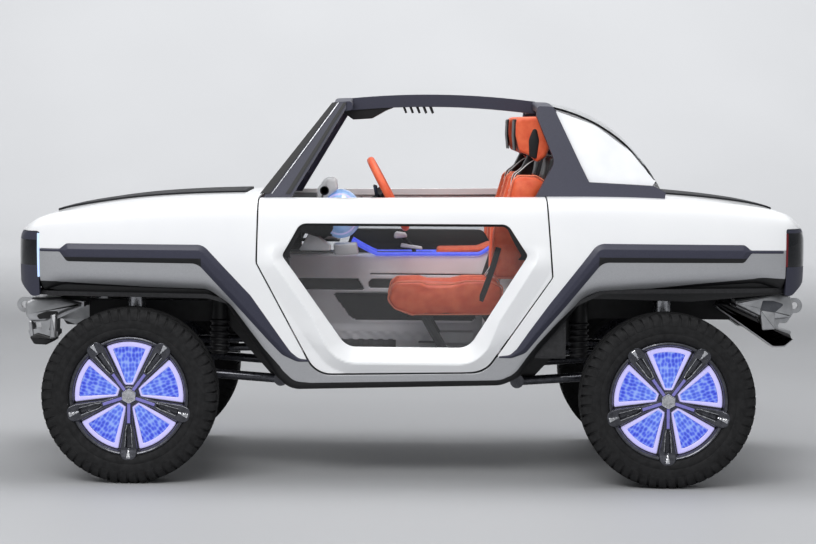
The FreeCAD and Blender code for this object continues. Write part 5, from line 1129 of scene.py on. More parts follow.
# A plate from a closed outline in the side view, between two Y, with rounded rims.
def roundedPlate(loop, low, high, rounding, steps=3):
    loop = np.asarray(loop, float)
    ahead = np.roll(loop, -1, axis=0) - loop
    ahead /= np.maximum(np.linalg.norm(ahead, axis=1, keepdims=True), 1e-9)
    area = float(np.sum(loop[:, 0] * np.roll(loop[:, 1], -1) - loop[:, 1] * np.roll(loop[:, 0], -1)))
    side = np.column_stack([ahead[:, 1], -ahead[:, 0]]) * (1 if area > 0 else -1)
    miter = side + np.roll(side, 1, axis=0)
    outward = miter / np.maximum((miter * side).sum(1, keepdims=True), 0.8)
    rings = []
    for step in range(steps + 1):
        angle = math.pi / 2 * step / steps
        rings.append((loop - outward * rounding * (1 - math.sin(angle)), low + rounding * (1 - math.cos(angle))))
    rings += [(flat, high + low - level) for flat, level in reversed(rings)]
    points, count = [(a, level, b) for flat, level in rings for a, b in flat], len(loop)
    faces = [tuple(range(count))[::-1], tuple(range((len(rings) - 1) * count, len(rings) * count))]
    return points, faces + gridFaces(len(rings), count, wrapColumns=True, flip=True)


def plate(corners, low, high, rounding):
    return roundedPlate(roundedLoop(corners), low, high, rounding)


# Draws a curve through a few points and divides it finely.
def smoothPath(points, steps=8):
    points = np.asarray(points, float)
    count = len(points)
    path = []
    for i in range(count - 1):
        quad = [points[max(i - 1, 0)], points[i], points[i + 1], points[min(i + 2, count - 1)]]
        for step in range(steps):
            t = step / steps
            path.append(0.5 * ((2 * quad[1]) + (quad[2] - quad[0]) * t
                               + (2 * quad[0] - 5 * quad[1] + 4 * quad[2] - quad[3]) * t * t
                               + (3 * quad[1] - quad[0] - 3 * quad[2] + quad[3]) * t ** 3))
    path.append(points[-1])
    return np.array(path)


# Sweeps an oval, or a flat strap, along a path; across says which way its width lies.
def swept(path, width, height, across=(0, 1, 0), sides=12, closed=False, square=False):
    path = np.asarray(path, float)
    ahead = np.roll(path, -1, axis=0) - np.roll(path, 1, axis=0)
    if not closed:
        ahead[0], ahead[-1] = path[1] - path[0], path[-1] - path[-2]
    ahead = unit(ahead)
    wide = np.array(across, float) - ahead * (ahead @ np.array(across, float))[:, None]
    wide = unit(wide)
    rise = np.cross(wide, ahead)
    ring = []
    for side in range(sides):
        angle = 2 * math.pi * (side + 0.5) / sides
        a, b = math.cos(angle), math.sin(angle)
        if square:
            a, b = math.copysign(abs(a) ** 0.35, a), math.copysign(abs(b) ** 0.35, b)
        ring.append((a * width / 2, b * height / 2))
    points = np.concatenate([[at + w * a + r * b for a, b in ring] for at, w, r in zip(path, wide, rise)])
    faces = gridFaces(len(path), sides, closed, True)
    if not closed:
        faces.append(tuple(range(sides)))
        faces.append(tuple(range((len(path) - 1) * sides, len(path) * sides))[::-1])
    return points.tolist(), faces


def strap(points, steps, width, height, across=(0, 1, 0), sides=8):
    return swept(smoothPath(points, steps), width, height, across, sides, False, True)


def addPiece(name, parts, body, slot, materials, *replaced, sharp=38.0):
    points, faces, slots = merged([part if len(part) == 3 else (part[0], part[1], 0) for part in parts])
    return dress(plainMesh(name, points, faces, materials, slots, sharp), body, slot, *replaced)


def flipped(part):
    points = np.asarray(part[0], float) * (1, -1, 1)
    return (points, [tuple(reversed(face)) for face in part[1]], *part[2:])


# Seats: thick leather pads on a dark frame, cushion and back swollen by cloth pressure

seat = {
    "y": 352, "halfWidth": 218, "bolster": 72, "voxel": 7.0, "pressure": 3.2, "cap": 9.0, "frames": 18,
    "quality": 4, "mass": 0.3, "damping": 1.5, "stiffness": 12, "seam": 3, "overlap": 12,
    "headHalf": 128, "headVoxel": 5.0, "piping": 5.5, "legs": (60, 330), "legHalf": 150, "strapShift": 92,
}
cushionBolster = [(-98, 770, 30), (-84, 826, 30), (-56, 846, 20), (41, 849, 30), (75, 838, 30), (178, 839, 30),
                  (234, 852, 40), (341, 853, 30), (398, 832, 20), (392, 772, 30), (343, 712, 30), (8, 708, 60),
                  (-66, 732, 30)]
cushionMiddle = [(-88, 764, 36), (-72, 812, 36), (20, 826, 60), (380, 812, 30), (386, 740, 30), (340, 716, 20),
                 (10, 714, 60), (-60, 736, 30)]
backBolster = [(352, 868, 24), (352, 960, 40), (357, 1080, 80), (410, 1196, 120), (436, 1290, 30), (462, 1308, 20),
               (536, 1308, 30), (574, 1284, 16), (548, 1210, 60), (502, 1010, 80), (470, 868, 24)]
backMiddle = [(384, 876, 24), (398, 1010, 80), (432, 1180, 80), (462, 1294, 24), (552, 1294, 24), (500, 1010, 80),
              (464, 876, 24)]
headRest = [(448, 1558, 26), (556, 1563, 24), (594, 1424, 26), (578, 1388, 14), (541, 1362, 14), (512, 1392, 16),
            (464, 1410, 22), (446, 1480, 60)]


# Turns what the modifiers give into the piece's own mesh.
def applied(piece):
    graph = bpy.context.evaluated_depsgraph_get()
    made = bpy.data.meshes.new_from_object(piece.evaluated_get(graph))
    old = piece.data
    piece.modifiers.clear()
    piece.data = made
    bpy.data.meshes.remove(old)


def smoothed(pad, times):
    smooth = pad.modifiers.new("smooth", "SMOOTH")
    smooth.factor, smooth.iterations = 0.5, times
    applied(pad)


def padObject(name, plates, voxel):
    points, faces, _ = merged([(*one, 0) for one in plates])
    pad = plainMesh(name, points, faces, ["orangeLeather"])
    remesh = pad.modifiers.new("remesh", "REMESH")
    remesh.mode, remesh.voxel_size = "VOXEL", voxel * mm
    smoothed(pad, 5)
    return pad


def meshPoints(mesh):
    places = np.zeros(len(mesh.vertices) * 3)
    mesh.vertices.foreach_get("co", places)
    return places.reshape(-1, 3)


# Swells a pad as cloth under pressure; no point moves further than the cap.
def swell(pad):
    before = meshPoints(pad.data)
    cloth = pad.modifiers.new("cloth", "CLOTH")
    settings = cloth.settings
    settings.quality, settings.mass, settings.air_damping = seat["quality"], seat["mass"], seat["damping"]
    settings.tension_stiffness = settings.compression_stiffness = seat["stiffness"]
    settings.use_pressure, settings.uniform_pressure_force = True, seat["pressure"]
    settings.effector_weights.gravity = 0
    cloth.point_cache.frame_start, cloth.point_cache.frame_end = 1, seat["frames"]
    for frameNumber in range(1, seat["frames"] + 1):
        bpy.context.scene.frame_set(frameNumber)
    applied(pad)
    after = meshPoints(pad.data)
    moved = after - before
    length = np.linalg.norm(moved, axis=1, keepdims=True)
    limit = seat["cap"] * mm
    moved *= limit * np.tanh(length / limit) / np.maximum(length, 1e-9)
    pad.data.vertices.foreach_set("co", (before + moved).ravel())
    bpy.context.scene.frame_set(1)


def finishPad(pad):
    smoothed(pad, 1)
    pad.data.polygons.foreach_set("use_smooth", [True] * len(pad.data.polygons))


def mirroredCopy(piece, name):
    mesh = piece.data.copy()
    places = meshPoints(mesh) * (1, -1, 1)
    mesh.vertices.foreach_set("co", places.ravel())
    mesh.flip_normals()
    made = bpy.data.objects.new(name, mesh)
    bpy.context.scene.collection.objects.link(made)
    return made


# An outline drawn in towards its middle.
def shrunk(loop, amount):
    centre = loop.mean(0)
    spread = loop - centre
    return centre + spread * (1 - amount / np.maximum(np.linalg.norm(spread, axis=1, keepdims=True), 1e-6))


def makeSeats():
    y, half = -seat["y"], seat["halfWidth"]
    inner = half - seat["bolster"]
    pads = {}
    for name, side, middle in (("cushionPad", cushionBolster, cushionMiddle), ("backPad", backBolster, backMiddle)):
        sideLoop, middleLoop = roundedLoop(side), roundedLoop(middle)
        seam, under = inner + seat["seam"], inner + seat["overlap"]
        plates = [roundedPlate(sideLoop, y - half, y - seam, 20), roundedPlate(sideLoop, y + seam, y + half, 20),
                  roundedPlate(middleLoop, y - inner + seat["seam"], y + inner - seat["seam"], 16),
                  roundedPlate(shrunk(middleLoop, 14), y - under, y + under, 4)]
        pads[name] = padObject(name + "_left", plates, seat["voxel"])
        swell(pads[name])
        finishPad(pads[name])
        print("pad made:", name, len(pads[name].data.polygons))
    head = plate(headRest, y - seat["headHalf"], y + seat["headHalf"], 13)
    pads["headPad"] = padObject("headPad_left", [head], seat["headVoxel"])
    finishPad(pads["headPad"])
    for name, pad in pads.items():
        other = mirroredCopy(pad, name + "_right")
        for piece, side in ((pad, "left"), (other, "right")):
            dress(piece, "root", "seat_orange", *(["seat_" + side] if name == "cushionPad" else []))
    makeSeatTrim(y, half, inner)


# Piping, dark backs, harness and the legs that lean back under the cushion.
def makeSeatTrim(y, half, inner):
    piping, dark, straps, metal = [], [], [], []
    for loop in (cushionBolster, backBolster):
        for edge in (y - half + 8, y + half - 8, y - inner - 12, y + inner + 12):
            path = [(a, edge, b) for a, b in roundedLoop(loop, steps=6)]
            piping.append(swept(path, seat["piping"], seat["piping"], (0, 1, 0), 6, True))
    for corners, reach, rounding in (
            ([(470, 870, 20), (500, 1010, 60), (548, 1210, 60), (576, 1290, 20), (600, 1290, 20), (566, 1180, 60),
              (524, 1000, 60), (498, 866, 20)], half - 14, 8),  # shell behind the back
            ([(442, 1545, 6), (450, 1552, 6), (450, 1412, 6), (446, 1416, 4), (440, 1480, 40)], 112, 4),
            ([(532, 1534, 16), (503, 1462, 60), (506, 1392, 12), (538, 1376, 8), (549, 1458, 60)], 131, 3),
            ([(462, 1300, 8), (486, 1352, 20), (510, 1400, 8), (536, 1400, 8), (530, 1340, 20), (520, 1300, 8)], 52, 6),
            ([(-40, 716, 10), (20, 700, 30), (352, 704, 20), (388, 742, 20), (352, 718, 10), (20, 714, 30)],
             half - 20, 4)):  # tray under the cushion
        dark.append(plate(corners, y - reach, y + reach, rounding))
    over = [(438, 1, 1240), (448, 1, 1300), (474, 0.9, 1326), (520, 0.75, 1364), (590, 0.6, 1392), (622, 0.6, 1380)]
    front = [(434, 1, 1240), (418, 1, 1120), (384, 0.9, 960), (330, 0.5, 868)]
    for shift in (-seat["strapShift"], seat["strapShift"]):
        for width, lift, shelf in ((46, 0, dark), (16, 2.5, straps)):
            shelf.append(strap([(a - lift * 0.6, y + shift * b, c + lift) for a, b, c in over], 6, width, 3.5))
            shelf.append(strap([(a - lift, y + shift * b, c) for a, b, c in front], 6, width, 3.5))
    for edge in (y - half - 4, y + half + 4):
        dark.append(strap([(376, edge, 1000), (350, edge, 910), (322, edge, 826), (300, edge, 770)], 5, 26, 3.0,
                          (1, 0, 0.3)))
    edges = (y - seat["legHalf"], y + seat["legHalf"])
    for legX in seat["legs"]:
        for edge in edges:
            metal.append(plate([(legX - 24, 706), (legX + 20, 706), (legX + 104, 560), (legX + 60, 560)],
                               edge - 15, edge + 15, 5))
            dark.append(plate([(legX - 4, 692), (legX + 8, 692), (legX + 84, 566), (legX + 72, 566)],
                              edge - 17, edge + 17, 2))
    for edge in edges:
        metal.append(plate([(40, 546, 4), (470, 546, 4), (470, 562, 6), (40, 562, 6)], edge - 22, edge + 22, 3))
    for name, parts, slot, finish, replaced in (
            ("seatPiping", piping, "seat_orange", "orangeThread", ()),
            ("seatShells", dark, "frame_black", "blackAbs", ()),
            ("harnessStraps", straps, "frame_black", "whiteWebbing", ()),
            ("seatLegs", metal, "frame_black", "powderSteel", ("seat_frames",))):
        addPiece(name, parts + [flipped(part) for part in parts], "root", slot, [finish], *replaced)


# Console: a grey side moulding with recesses, a slot, the lit rail and a leather armrest

console = {
    "y": -95.0, "cells": (6.5, 5.0), "edge": 12, "recessEdge": 6, "flute": 2.2, "toeOut": 10,
    "outline": [(-560, 546), (-560, 938, 20), (300, 938, 40), (404, 996, 16), (424, 984, 14), (426, 880, 60),
                (392, 800, 60), (330, 700, 60), (320, 546)],
    "recesses": (  # outline and depth
        ([(-560, 832), (-233, 832, 8), (-199, 779, 8), (-560, 779)], 14),
        ([(-190, 812, 14), (-172, 832, 14), (30, 832, 14), (60, 786, 14), (-180, 786, 14)], 12),
        ([(96, 832, 10), (330, 832, 10), (318, 806, 10), (130, 806, 10)], 12),
        ([(-178, 855, 3), (326, 855, 3), (326, 848, 3), (-178, 848, 3)], 10),
        ([(-352, 768, 12), (-262, 648, 40), (-226, 640, 30), (300, 640, 30), (300, 768, 20)], 26)),
    "rail": [(-262, 1000), (-205, 968), (-158, 946), (-130, 942), (60, 944), (270, 946), (312, 950), (360, 980),
             (404, 1008)],
}


def makeConsole():
    loop = roundedLoop(console["outline"])
    recesses = [(roundedLoop(corners), depth) for corners, depth in console["recesses"]]

    def relief(points):
        flat = sideView(points)
        depth = np.zeros(len(points))
        for recess, full in recesses:
            depth = np.maximum(depth, full * np.clip(-distanceTo(recess, flat) / console["recessEdge"], 0, 1) ** 0.7)
        edge = -distanceTo(loop, flat) / console["edge"]
        depth += console["edge"] * (1 - np.sqrt(np.clip(1 - (1 - np.clip(edge, 0, 1)) ** 2, 0, 1)))
        ripple = np.sin(flat[:, 0] / 9.0) * np.sin(flat[:, 1] / 7.0)
        depth -= console["flute"] * ripple * np.clip((600 - flat[:, 1]) / 8, 0, 1)
        return depth - console["toeOut"] * eased(np.clip((632 - flat[:, 1]) / 40, 0, 1))

    surface = flatSheet(np.arange(-562, 430, console["cells"][0]), np.arange(544, 1002, console["cells"][1]),
                        console["y"])
    surface = pressed(keepInside(surface, loop, sideView, 0.5), relief, 1.5)

    def darkAreas(mesh):
        centres = np.zeros(len(mesh.polygons) * 3)
        mesh.polygons.foreach_get("center", centres)
        flat = sideView(centres.reshape(-1, 3)) / mm
        dark = np.zeros(len(flat), bool)
        for recess, _ in recesses:
            dark |= distanceTo(recess, flat) < -2
        return dark.astype(int).tolist()

    for side, shape in (("left", surface), ("right", mirroredSurface(surface))):
        piece = meshObject("consoleSide_" + side, shape, ["greyMoulding", "darkLining"], darkAreas)
        dress(piece, "root", "console_grey", *(["centre_console"] if side == "left" else []))
    armrest = plate([(116, 936, 10), (122, 972, 14), (300, 976, 30), (350, 996, 14), (392, 1000, 10), (396, 960, 10)],
                    14, 86, 12)
    addPiece("consoleCore", [roundedPlate(shrunk(loop, 3), -62, 62, 10)], "root", "console_grey", ["greyMoulding"])
    addPiece("armrest", [armrest, flipped(armrest)], "root", "seat_orange", ["orangeLeather"])
    well = plate([(-150, 938, 6), (100, 938, 6), (100, 946, 4), (-150, 946, 4)], -60, 60, 3)
    lever = swept(smoothPath([(20, 0, 944), (10, 0, 968), (-18, 0, 1000), (-44, 0, 1022)], 5), 26, 18)
    grip = plate([(-78, 1006, 10), (-68, 1040, 12), (-22, 1034, 10), (-10, 1014, 10)], -22, 22, 8)
    tongue = plate([(-46, 968, 6), (-40, 986, 6), (52, 972, 6), (58, 956, 6)], -16, 16, 5)
    addPiece("selectorWell", [well, lever], "root", "cabin_dark", ["blackAbs"])
    addPiece("selectorGrip", [grip, tongue], "root", "console_grey", ["greyMoulding"])
    rails = [swept(smoothPath([(x, y, z) for x, z in console["rail"]], 6), 15, 17, (0, 1, 0), 16) for y in (-106, 106)]
    addPiece("litRails", rails, "root", "light_blue", ["blueLight"], "console_lights")
    # A black sheet on the far side of the tunnel, above the console: painted shade for the dim cab beyond.
    farShade = plate([(-300, 930, 10), (-262, 1046, 30), (330, 1046, 40), (400, 930, 10)], 118, 130, 4)
    addPiece("farCabShade", [farShade], "root", "cabin_dark", ["blackAbs"])


# Wheel, hub and the blue instrument globe with its grey hood

column = {"centre": (-100, -352, 1218), "angle": 28.0, "radius": 165.0, "rim": (30.0, 34.0), "stitchRing": 150.0,
          "bossRadius": 46, "boss": ((-46, 0.72), (-36, 0.98), (-12, 1.0), (-4, 0.94), (0, 0.8), (1, 0.4))}


def roundAngles(count):
    return np.linspace(0, 2 * math.pi, count, endpoint=False)


def makeSteering():
    turn = math.radians(column["angle"])
    centre = np.array(column["centre"], float)
    axis = np.array([math.cos(turn), 0, math.sin(turn)])
    rise = np.array([-math.sin(turn), 0, math.cos(turn)])
    side = np.array([0.0, 1.0, 0.0])

    def at(across, up, out=0.0):
        return centre + side * across + rise * up + axis * out

    def circle(radius, count):
        return [at(radius * math.cos(a), radius * math.sin(a)) for a in roundAngles(count)]

    ring = swept(circle(column["radius"], 96), column["rim"][1], column["rim"][0], axis, 16, True)
    stitches = swept(circle(column["stitchRing"], 90), 3.5, 3.5, axis, 6, True)
    parts = []
    for degrees in (0, 180, 270):
        a = math.radians(degrees)
        arm = [at(r * math.cos(a), r * math.sin(a), out)
               for r, out in ((34, -22), (70, -20), (110, -10), (column["radius"] - 8, -2))]
        parts.append(swept(arm, 34, 11, at(-math.sin(a), math.cos(a)) - centre, 12, False, True))
    steps, boss = 40, []
    for out, share in column["boss"]:
        boss += [centre + (point - centre) * share + axis * out for point in circle(column["bossRadius"], steps)]
    levels = len(column["boss"])
    parts.append((boss, gridFaces(levels, steps, wrapColumns=True, flip=True) + [
        tuple(range(steps))[::-1], tuple(range((levels - 1) * steps, levels * steps))]))
    for across in (-70, 70):
        blade = [at(across * 0.5, 12, -52), at(across, 26, -46), at(across * 1.25, 58, -34)]
        parts.append(swept(blade, 22, 4, rise, 10, False, True))
    addPiece("steeringRim", [ring, (*stitches, 1)], "steering_wheel", "wheel_orange",
             ["orangeLeather", "orangeThread"], "steering_wheel")
    addPiece("steeringHub", parts, "steering_wheel", "cabin_dark", ["blackAbs"])


globe = {"centre": (-308, -352, 1130), "radii": (95, 112, 108), "rows": 28, "steps": 56,
         "grooves": ((0.55, 0.025), (0.95, 0.03), (math.pi - 0.95, 0.03)), "bands": (0.88, 1.05)}


def makeGlobe():
    centre, radii = np.array(globe["centre"], float), np.array(globe["radii"], float)
    rows, steps = globe["rows"], globe["steps"]
    points, slots = [], []
    for tilt in np.linspace(0, math.pi, rows + 1):
        # The axis of the rings lies across the car, so its circles face the side.
        ripple = 1 - sum(depth * math.exp(-((tilt - place) / 0.05) ** 2) for place, depth in globe["grooves"])
        for a in roundAngles(steps):
            direction = np.array([math.sin(tilt) * math.cos(a), -math.cos(tilt), math.sin(tilt) * math.sin(a)])
            points.append(centre + direction * radii * ripple)
    low, high = globe["bands"]
    for i in range(rows):
        middle = math.pi * (i + 0.5) / rows
        slots += [1 if low < middle < high or low < math.pi - middle < high else 0] * steps
    hood = plate([(-408, 1150, 10), (-410, 1236, 40), (-372, 1290, 34), (-326, 1286, 20), (-318, 1236, 20),
                  (-350, 1214, 20), (-386, 1180, 20)], -430, -274, 16)
    portPoints, portFaces = turned([(0, 0.3), (0, 13), (4, 16), (4, 18), (0, 20)], 28)
    stand = plate([(-420, 1040, 10), (-408, 1160, 20), (-390, 1190, 10), (-340, 1080, 20), (-340, 1030, 10)],
                  -400, -304, 8)
    addPiece("instrumentGlobe", [(points, gridFaces(rows + 1, steps, wrapColumns=True, flip=True), slots)],
             "root", "pod_blue", ["blueGlobe", "lightGuide"], "instrument_pod", sharp=80)
    addPiece("globeHood", [hood], "root", "console_grey", ["greyMoulding"])
    addPiece("globeStand", [stand, (np.asarray(portPoints) + (-376, -431, 1232), portFaces)],
             "root", "cabin_dark", ["blackAbs"])


# Cab trim: floor liners, dash ends, door linings, the dark trim behind the seats
def makeCabTrim():
    liners, mats, dark, pedals = [], [], [], []
    for y in (-640, 110):
        liners.append(plate([(-520, 546, 4), (-560, 640, 30), (-556, 646, 4), (-500, 556, 40), (500, 556, 20),
                             (560, 650, 30), (566, 644, 4), (508, 546, 20)], y, y + 530, 3))
        mats.append(plate([(-380, 557, 3), (-60, 557, 3), (-60, 564, 3), (-380, 564, 3)], y + 60, y + 470, 3))
        for x in range(-360, -60, 44):
            mats.append(plate([(x, 563, 2), (x + 26, 563, 2), (x + 22, 569, 2), (x + 4, 569, 2)], y + 80, y + 450, 2))
    for step in (0, 1):
        liners.append(plate([(131, 556, 3), (131, 606 - step * 26, 6), (283, 608 - step * 26, 6), (283, 556, 3)],
                            -250 + step * 20, -150 - step * 10, 4))
    wedge = plate([(-480, 978, 6), (-432, 1062, 6), (-346, 1002, 6), (-344, 978, 6)], -590, -470, 5)
    shelf = plate([(-540, 968, 4), (-540, 976, 4), (-330, 976, 4), (-330, 968, 4)], -600, -440, 3)
    block = plate([(-330, 952, 8), (-336, 1000, 8), (-236, 1004, 8), (-226, 956, 8)], -430, -290, 8)
    dark += [shelf, flipped(shelf)]
    for y in (-600, 140):
        dark.append(plate([(560, 1215, 8), (560, 1262, 20), (590, 1384, 20), (622, 1396, 10), (668, 1330, 20),
                           (700, 1240, 10), (700, 1215, 8)], y, y + 460, 10))
    for y in (-420, -340, -270):
        pedals.append(swept(smoothPath([(-560, y, 800), (-520, y, 720), (-480, y, 660)], 5), 18, 12, (0, 1, 0), 10))
        pedals.append(plate([(-492, 690, 4), (-482, 694, 4), (-452, 624, 4), (-462, 620, 4)], y - 30, y + 30, 3))
    addPiece("floorLiners", liners, "root", "console_grey", ["greyMoulding"])
    addPiece("floorMats", mats, "root", "cabin_dark", ["darkLining"])
    addPiece("dashEnds", [wedge, block, flipped(wedge)], "root", "console_grey", ["greyMoulding"])
    addPiece("cabTrim", dark, "root", "cabin_dark", ["blackAbs"])
    addPiece("pedals", pedals, "root", "link_steel", ["polishedSteel"])
    rail = plate([(-600, 1120, 10), (-604, 1176, 10), (520, 1182, 10), (516, 1120, 10)], -716, -699, 5)
    for side, piece in (("left", rail), ("right", flipped(rail))):
        addPiece("doorTop_" + side, [piece], "door_" + side, "console_grey", ["roseMoulding"])


# Eight corners make a plate between two slanting quads.
def slab(near, far):
    return list(near) + list(far), [(0, 3, 2, 1), (4, 5, 6, 7), (0, 1, 5, 4), (1, 2, 6, 5), (2, 3, 7, 6), (3, 0, 4, 7)]


# A strip along the screen's post, between X limits at its foot and its head.
def postStrip(foot, head, y, depth):
    quad = [(foot[0], -y, 1224), (foot[1], -y, 1224), (head[1], -y + 81, 1612), (head[0], -y + 81, 1612)]
    return slab([(x, across + depth, z) for x, across, z in quad], quad)


# Screen posts: black edges beside the slate face; ribs and gussets under the roof bar.
def makeUpperTrim():
    edges = [postStrip((-641, -601), (-341, -319), 690, 14), postStrip((-533, -513), (-293, -280), 690, 14)]
    bright = postStrip((-593, -589), (-316, -312), 689, 12)
    parts = edges + [flipped(edge) for edge in edges]
    for x in (-46, -16, 14, 44, 74):
        parts.append(roundedPlate([(x, 1612), (x + 12, 1612), (x + 26, 1574), (x + 18, 1570)], -104, 104, 2))
    parts.append(plate([(-330, 1590, 6), (-262, 1604, 6), (-50, 1608, 6), (-115, 1582, 20), (-177, 1546, 20),
                        (-261, 1540, 10)], -110, 110, 5))
    addPiece("postEdges", parts, "root", "cabin_dark", ["blackAbs"])
    addPiece("postBeads", [bright, flipped(bright)], "root", "link_steel", ["polishedSteel"])


# Narrow light lines where the nose and tail masks meet the body: X and Z limits and finish.
lampLines = {"noseLightLine": (-1571.5, -1563.5, 866, 1050, "iceLight"),
             "tailLightLine": (1580, 1587, 940, 1080, "redLight")}


def makeLampLines():
    for name, (xFrom, xTo, zFrom, zTo, finish) in lampLines.items():
        surface = skinPatch(xFrom, xTo, 0.5, 8.5, 4.0)
        surface = clipped(surface, zFrom - surface[0][:, 2])
        surface = clipped(surface, surface[0][:, 2] - zTo)
        dressBoth(name, thickened(shifted(surface, 1.5), 0.5, 8.0, 1), "light_blue", [finish])


# Bumpers: cast pods with an eye, dark on the front ones as painted shade of a recess, a strap and a black skid over the
# plain brackets
bumpers = {"frontY": (-580, 460), "frontWidth": 120, "rearY": (-618, 460), "rearWidth": 158, "rearSkid": 120}


def makeBumperTrim():
    silver, dark, cast = [], [], []
    for y in bumpers["frontY"]:
        far = y + bumpers["frontWidth"]
        silver.append(plate([(-1648, 690, 14), (-1650, 746, 20), (-1622, 764, 16), (-1500, 766, 10), (-1410, 744, 6),
                             (-1412, 728, 6), (-1480, 704, 20), (-1560, 664, 20), (-1630, 662, 24)], y, far, 14))
        # The front pod's dark eye: a black plate of painted shade where its recess lies.
        dark.append(plate([(-1602, 690, 12), (-1556, 708, 10), (-1494, 708, 8), (-1532, 678, 8), (-1590, 672, 12)],
                          y - 1.5, far + 1.5, 2))
        silver.append(plate([(-1540, 692, 4), (-1514, 700, 4), (-1516, 592, 4), (-1544, 588, 4)], y - 6, far + 6, 6))
        silver.append(plate([(-1634, 664, 6), (-1622, 668, 6), (-1612, 600, 6), (-1630, 594, 6)], y + 2, far - 2, 5))
        dark.append(plate([(-1632, 596, 8), (-1596, 614, 16), (-1540, 598, 8), (-1514, 584, 6), (-1560, 562, 10),
                           (-1612, 564, 14)], y + 1, far - 1, 8))
    for y in bumpers["rearY"]:
        far, skidFar = y + bumpers["rearWidth"], y + bumpers["rearSkid"]
        silver.append(plate([(1386, 768, 8), (1388, 790, 8), (1500, 808, 30), (1569, 821, 10), (1622, 812, 14),
                             (1636, 762, 20), (1630, 714, 8), (1557, 706, 10), (1485, 722, 20)], y, far, 12))
        cast.append(plate([(1506, 787, 6), (1550, 787, 14), (1598, 772, 6), (1558, 736, 6), (1494, 742, 6)],
                          y - 2, far + 2, 2))
        silver.append(plate([(1494, 748, 4), (1557, 738, 6), (1562, 664, 4), (1504, 660, 4)], y - 5, far + 5, 5))
        dark.append(plate([(1316, 776, 6), (1350, 774, 10), (1489, 707, 10), (1500, 662, 14), (1552, 668, 10),
                           (1627, 642, 10), (1633, 626, 8), (1600, 598, 14), (1554, 596, 20), (1316, 762, 4)],
                          y + 4, skidFar - 4, 8))
        silver.append(plate([(1312, 762, 2), (1554, 595, 24), (1601, 597, 14), (1636, 628, 3), (1642, 624, 3),
                             (1604, 589, 14), (1550, 587, 24), (1310, 753, 2)], y, skidFar, 3))
    addPiece("bumperPods", silver, "root", "bumper_silver", ["satinAluminium"])
    addPiece("bumperSkidsAndEyeShade", dark, "root", "frame_black", ["blackAbs"])
    addPiece("bumperEyes", cast, "root", "bumper_silver", ["castAluminium"])


for make in (makeUpperTrim, makeLampLines, makeBumperTrim, makeSeats, makeConsole, makeSteering, makeGlobe,
             makeCabTrim):
    make()
print("cab made")


# Solids that keep their own shape get their finish here

finishes = {
    "satinAluminium": ("bumper_front", "bumper_rear"),
    "castAluminium": ("battery_pack",),
    "darkLining": ("cab_tub", "dashboard"),
    "powderSteel": ("coil_springs", "drive_axles", "knuckle_left", "knuckle_right", "ladder_frame"),
    "darkGlass": ("head_lamps", "tail_lamps"),
    "slateAbs": ("nose_panel", "rear_hoop", "roof_bar", "tail_panel", "windscreen_frame"),
    "opalAcrylic": ("quarter_windows",),
    "tintedGlass": ("rear_window",),
    "polishedSteel": ("struts",),
    "gunmetalAlloy": ("suspension_links",),
}
for finish, names in finishes.items():
    for name in names:
        nodes[name].data.materials.clear()
        nodes[name].data.materials.append(paint[finish])
print("solids finished:", sum(len(names) for names in finishes.values()))


# Stage: floor, light and camera, in metres

stage = {"halfLength": 40.0, "near": -40.0, "cove": 16.0, "coveRadius": 12.0, "wallTop": 40.0}
lamps = {  # place, aim, width, depth and power
    "key": ((-2.5, -8.0, 7.0), (0, 0, 0.9), 7.0, 3.0, 600),
    "top": ((0.5, 0.5, 7.5), (0, 0, 1.0), 5.0, 2.5, 300),
    "back": ((0.0, 12.0, 14.0), (0, 28, 9.0), 26.0, 3.0, 5600),
}


# Floor and back wall in one sheet, joined by a wide cove so that no horizon shows.
def makeFloor():
    made, tree, shader = newMaterial("studioFloor", {"Roughness": 0.6, "IOR": 1.45, "Specular IOR Level": 0.3})
    addPatches(tree, shader, "Base Color", 2500, "A4A5A7", "A7A8AA", 1.0)
    radius, start = stage["coveRadius"], stage["cove"]
    profile = [(stage["near"], 0.0), (-6.0, 0.0), (6.0, 0.0)]
    profile += [(start + radius * math.sin(a), radius * (1 - math.cos(a))) for a in np.linspace(0, math.pi / 2, 40)]
    profile.append((start + radius, stage["wallTop"]))
    half = stage["halfLength"]
    points = [(x, y, z) for y, z in profile for x in (-half, half)]
    faces = gridFaces(len(profile), 2, flip=True)
    mesh = bpy.data.meshes.new("studioFloor")
    mesh.from_pydata(points, [], faces)
    mesh.polygons.foreach_set("use_smooth", [True] * len(faces))
    mesh.materials.append(made)
    floor = bpy.data.objects.new("studioFloor", mesh)
    bpy.context.scene.collection.objects.link(floor)


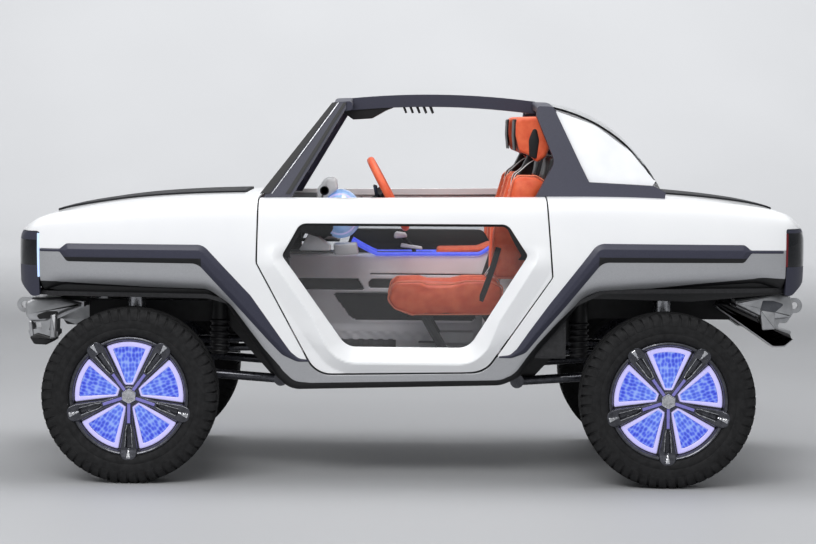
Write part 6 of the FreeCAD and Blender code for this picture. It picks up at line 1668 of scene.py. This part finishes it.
def makeLight():
    world = bpy.data.worlds.new("studio")
    world.use_nodes = True
    tree = world.node_tree
    tree.nodes.clear()
    spot = addNode(tree, "ShaderNodeTexCoord")
    split = addNode(tree, "ShaderNodeSeparateXYZ", None, {"Vector": spot.outputs["Generated"]})
    dome = addNode(tree, "ShaderNodeValToRGB", {"stops": ((0, "8E9092"), (0.55, "F4F5F7"))},
                   {"Fac": split.outputs["Z"]})
    sky = addNode(tree, "ShaderNodeBackground", {"Strength": 0.85}, {"Color": dome.outputs[0]})
    addNode(tree, "ShaderNodeOutputWorld", None, {"Surface": sky.outputs[0]})
    bpy.context.scene.world = world
    bpy.context.scene.view_settings.view_transform = "Standard"
    for name, (place, aim, width, depth, power) in lamps.items():
        lamp = bpy.data.lights.new(name, "AREA")
        lamp.shape = "RECTANGLE"
        lamp.size, lamp.size_y, lamp.energy = width, depth, power
        holder = bpy.data.objects.new(name, lamp)
        holder.location = place
        holder.rotation_euler = (Vector(aim) - Vector(place)).to_track_quat("-Z", "Y").to_euler()
        bpy.context.scene.collection.objects.link(holder)


# The camera's place, lens and three turns were fitted to the photograph's wheels.
view = {"place": (-0.0499, -11.1538, 1.5427), "lens": 109.14, "sensor": 36.0, "pitch": 3.525, "yaw": 0.211,
        "roll": 0.612}


def makeCamera():
    pitch, yaw, roll = (math.radians(view[turn]) for turn in ("pitch", "yaw", "roll"))
    forward = Vector((math.sin(yaw) * math.cos(pitch), math.cos(yaw) * math.cos(pitch), -math.sin(pitch)))
    right = Vector((math.cos(yaw), -math.sin(yaw), 0))
    upward = right.cross(forward)
    across = right * math.cos(roll) + upward * math.sin(roll)
    rise = upward * math.cos(roll) - right * math.sin(roll)
    lens = bpy.data.cameras.new("camera")
    lens.lens, lens.sensor_width, lens.clip_end = view["lens"], view["sensor"], 200.0
    camera = bpy.data.objects.new("camera", lens)
    camera.matrix_world = Matrix.Translation(view["place"]) @ Matrix((across, rise, -forward)).transposed().to_4x4()
    bpy.context.scene.collection.objects.link(camera)
    bpy.context.scene.camera = camera


makeFloor()
makeLight()
makeCamera()
print("stage set")
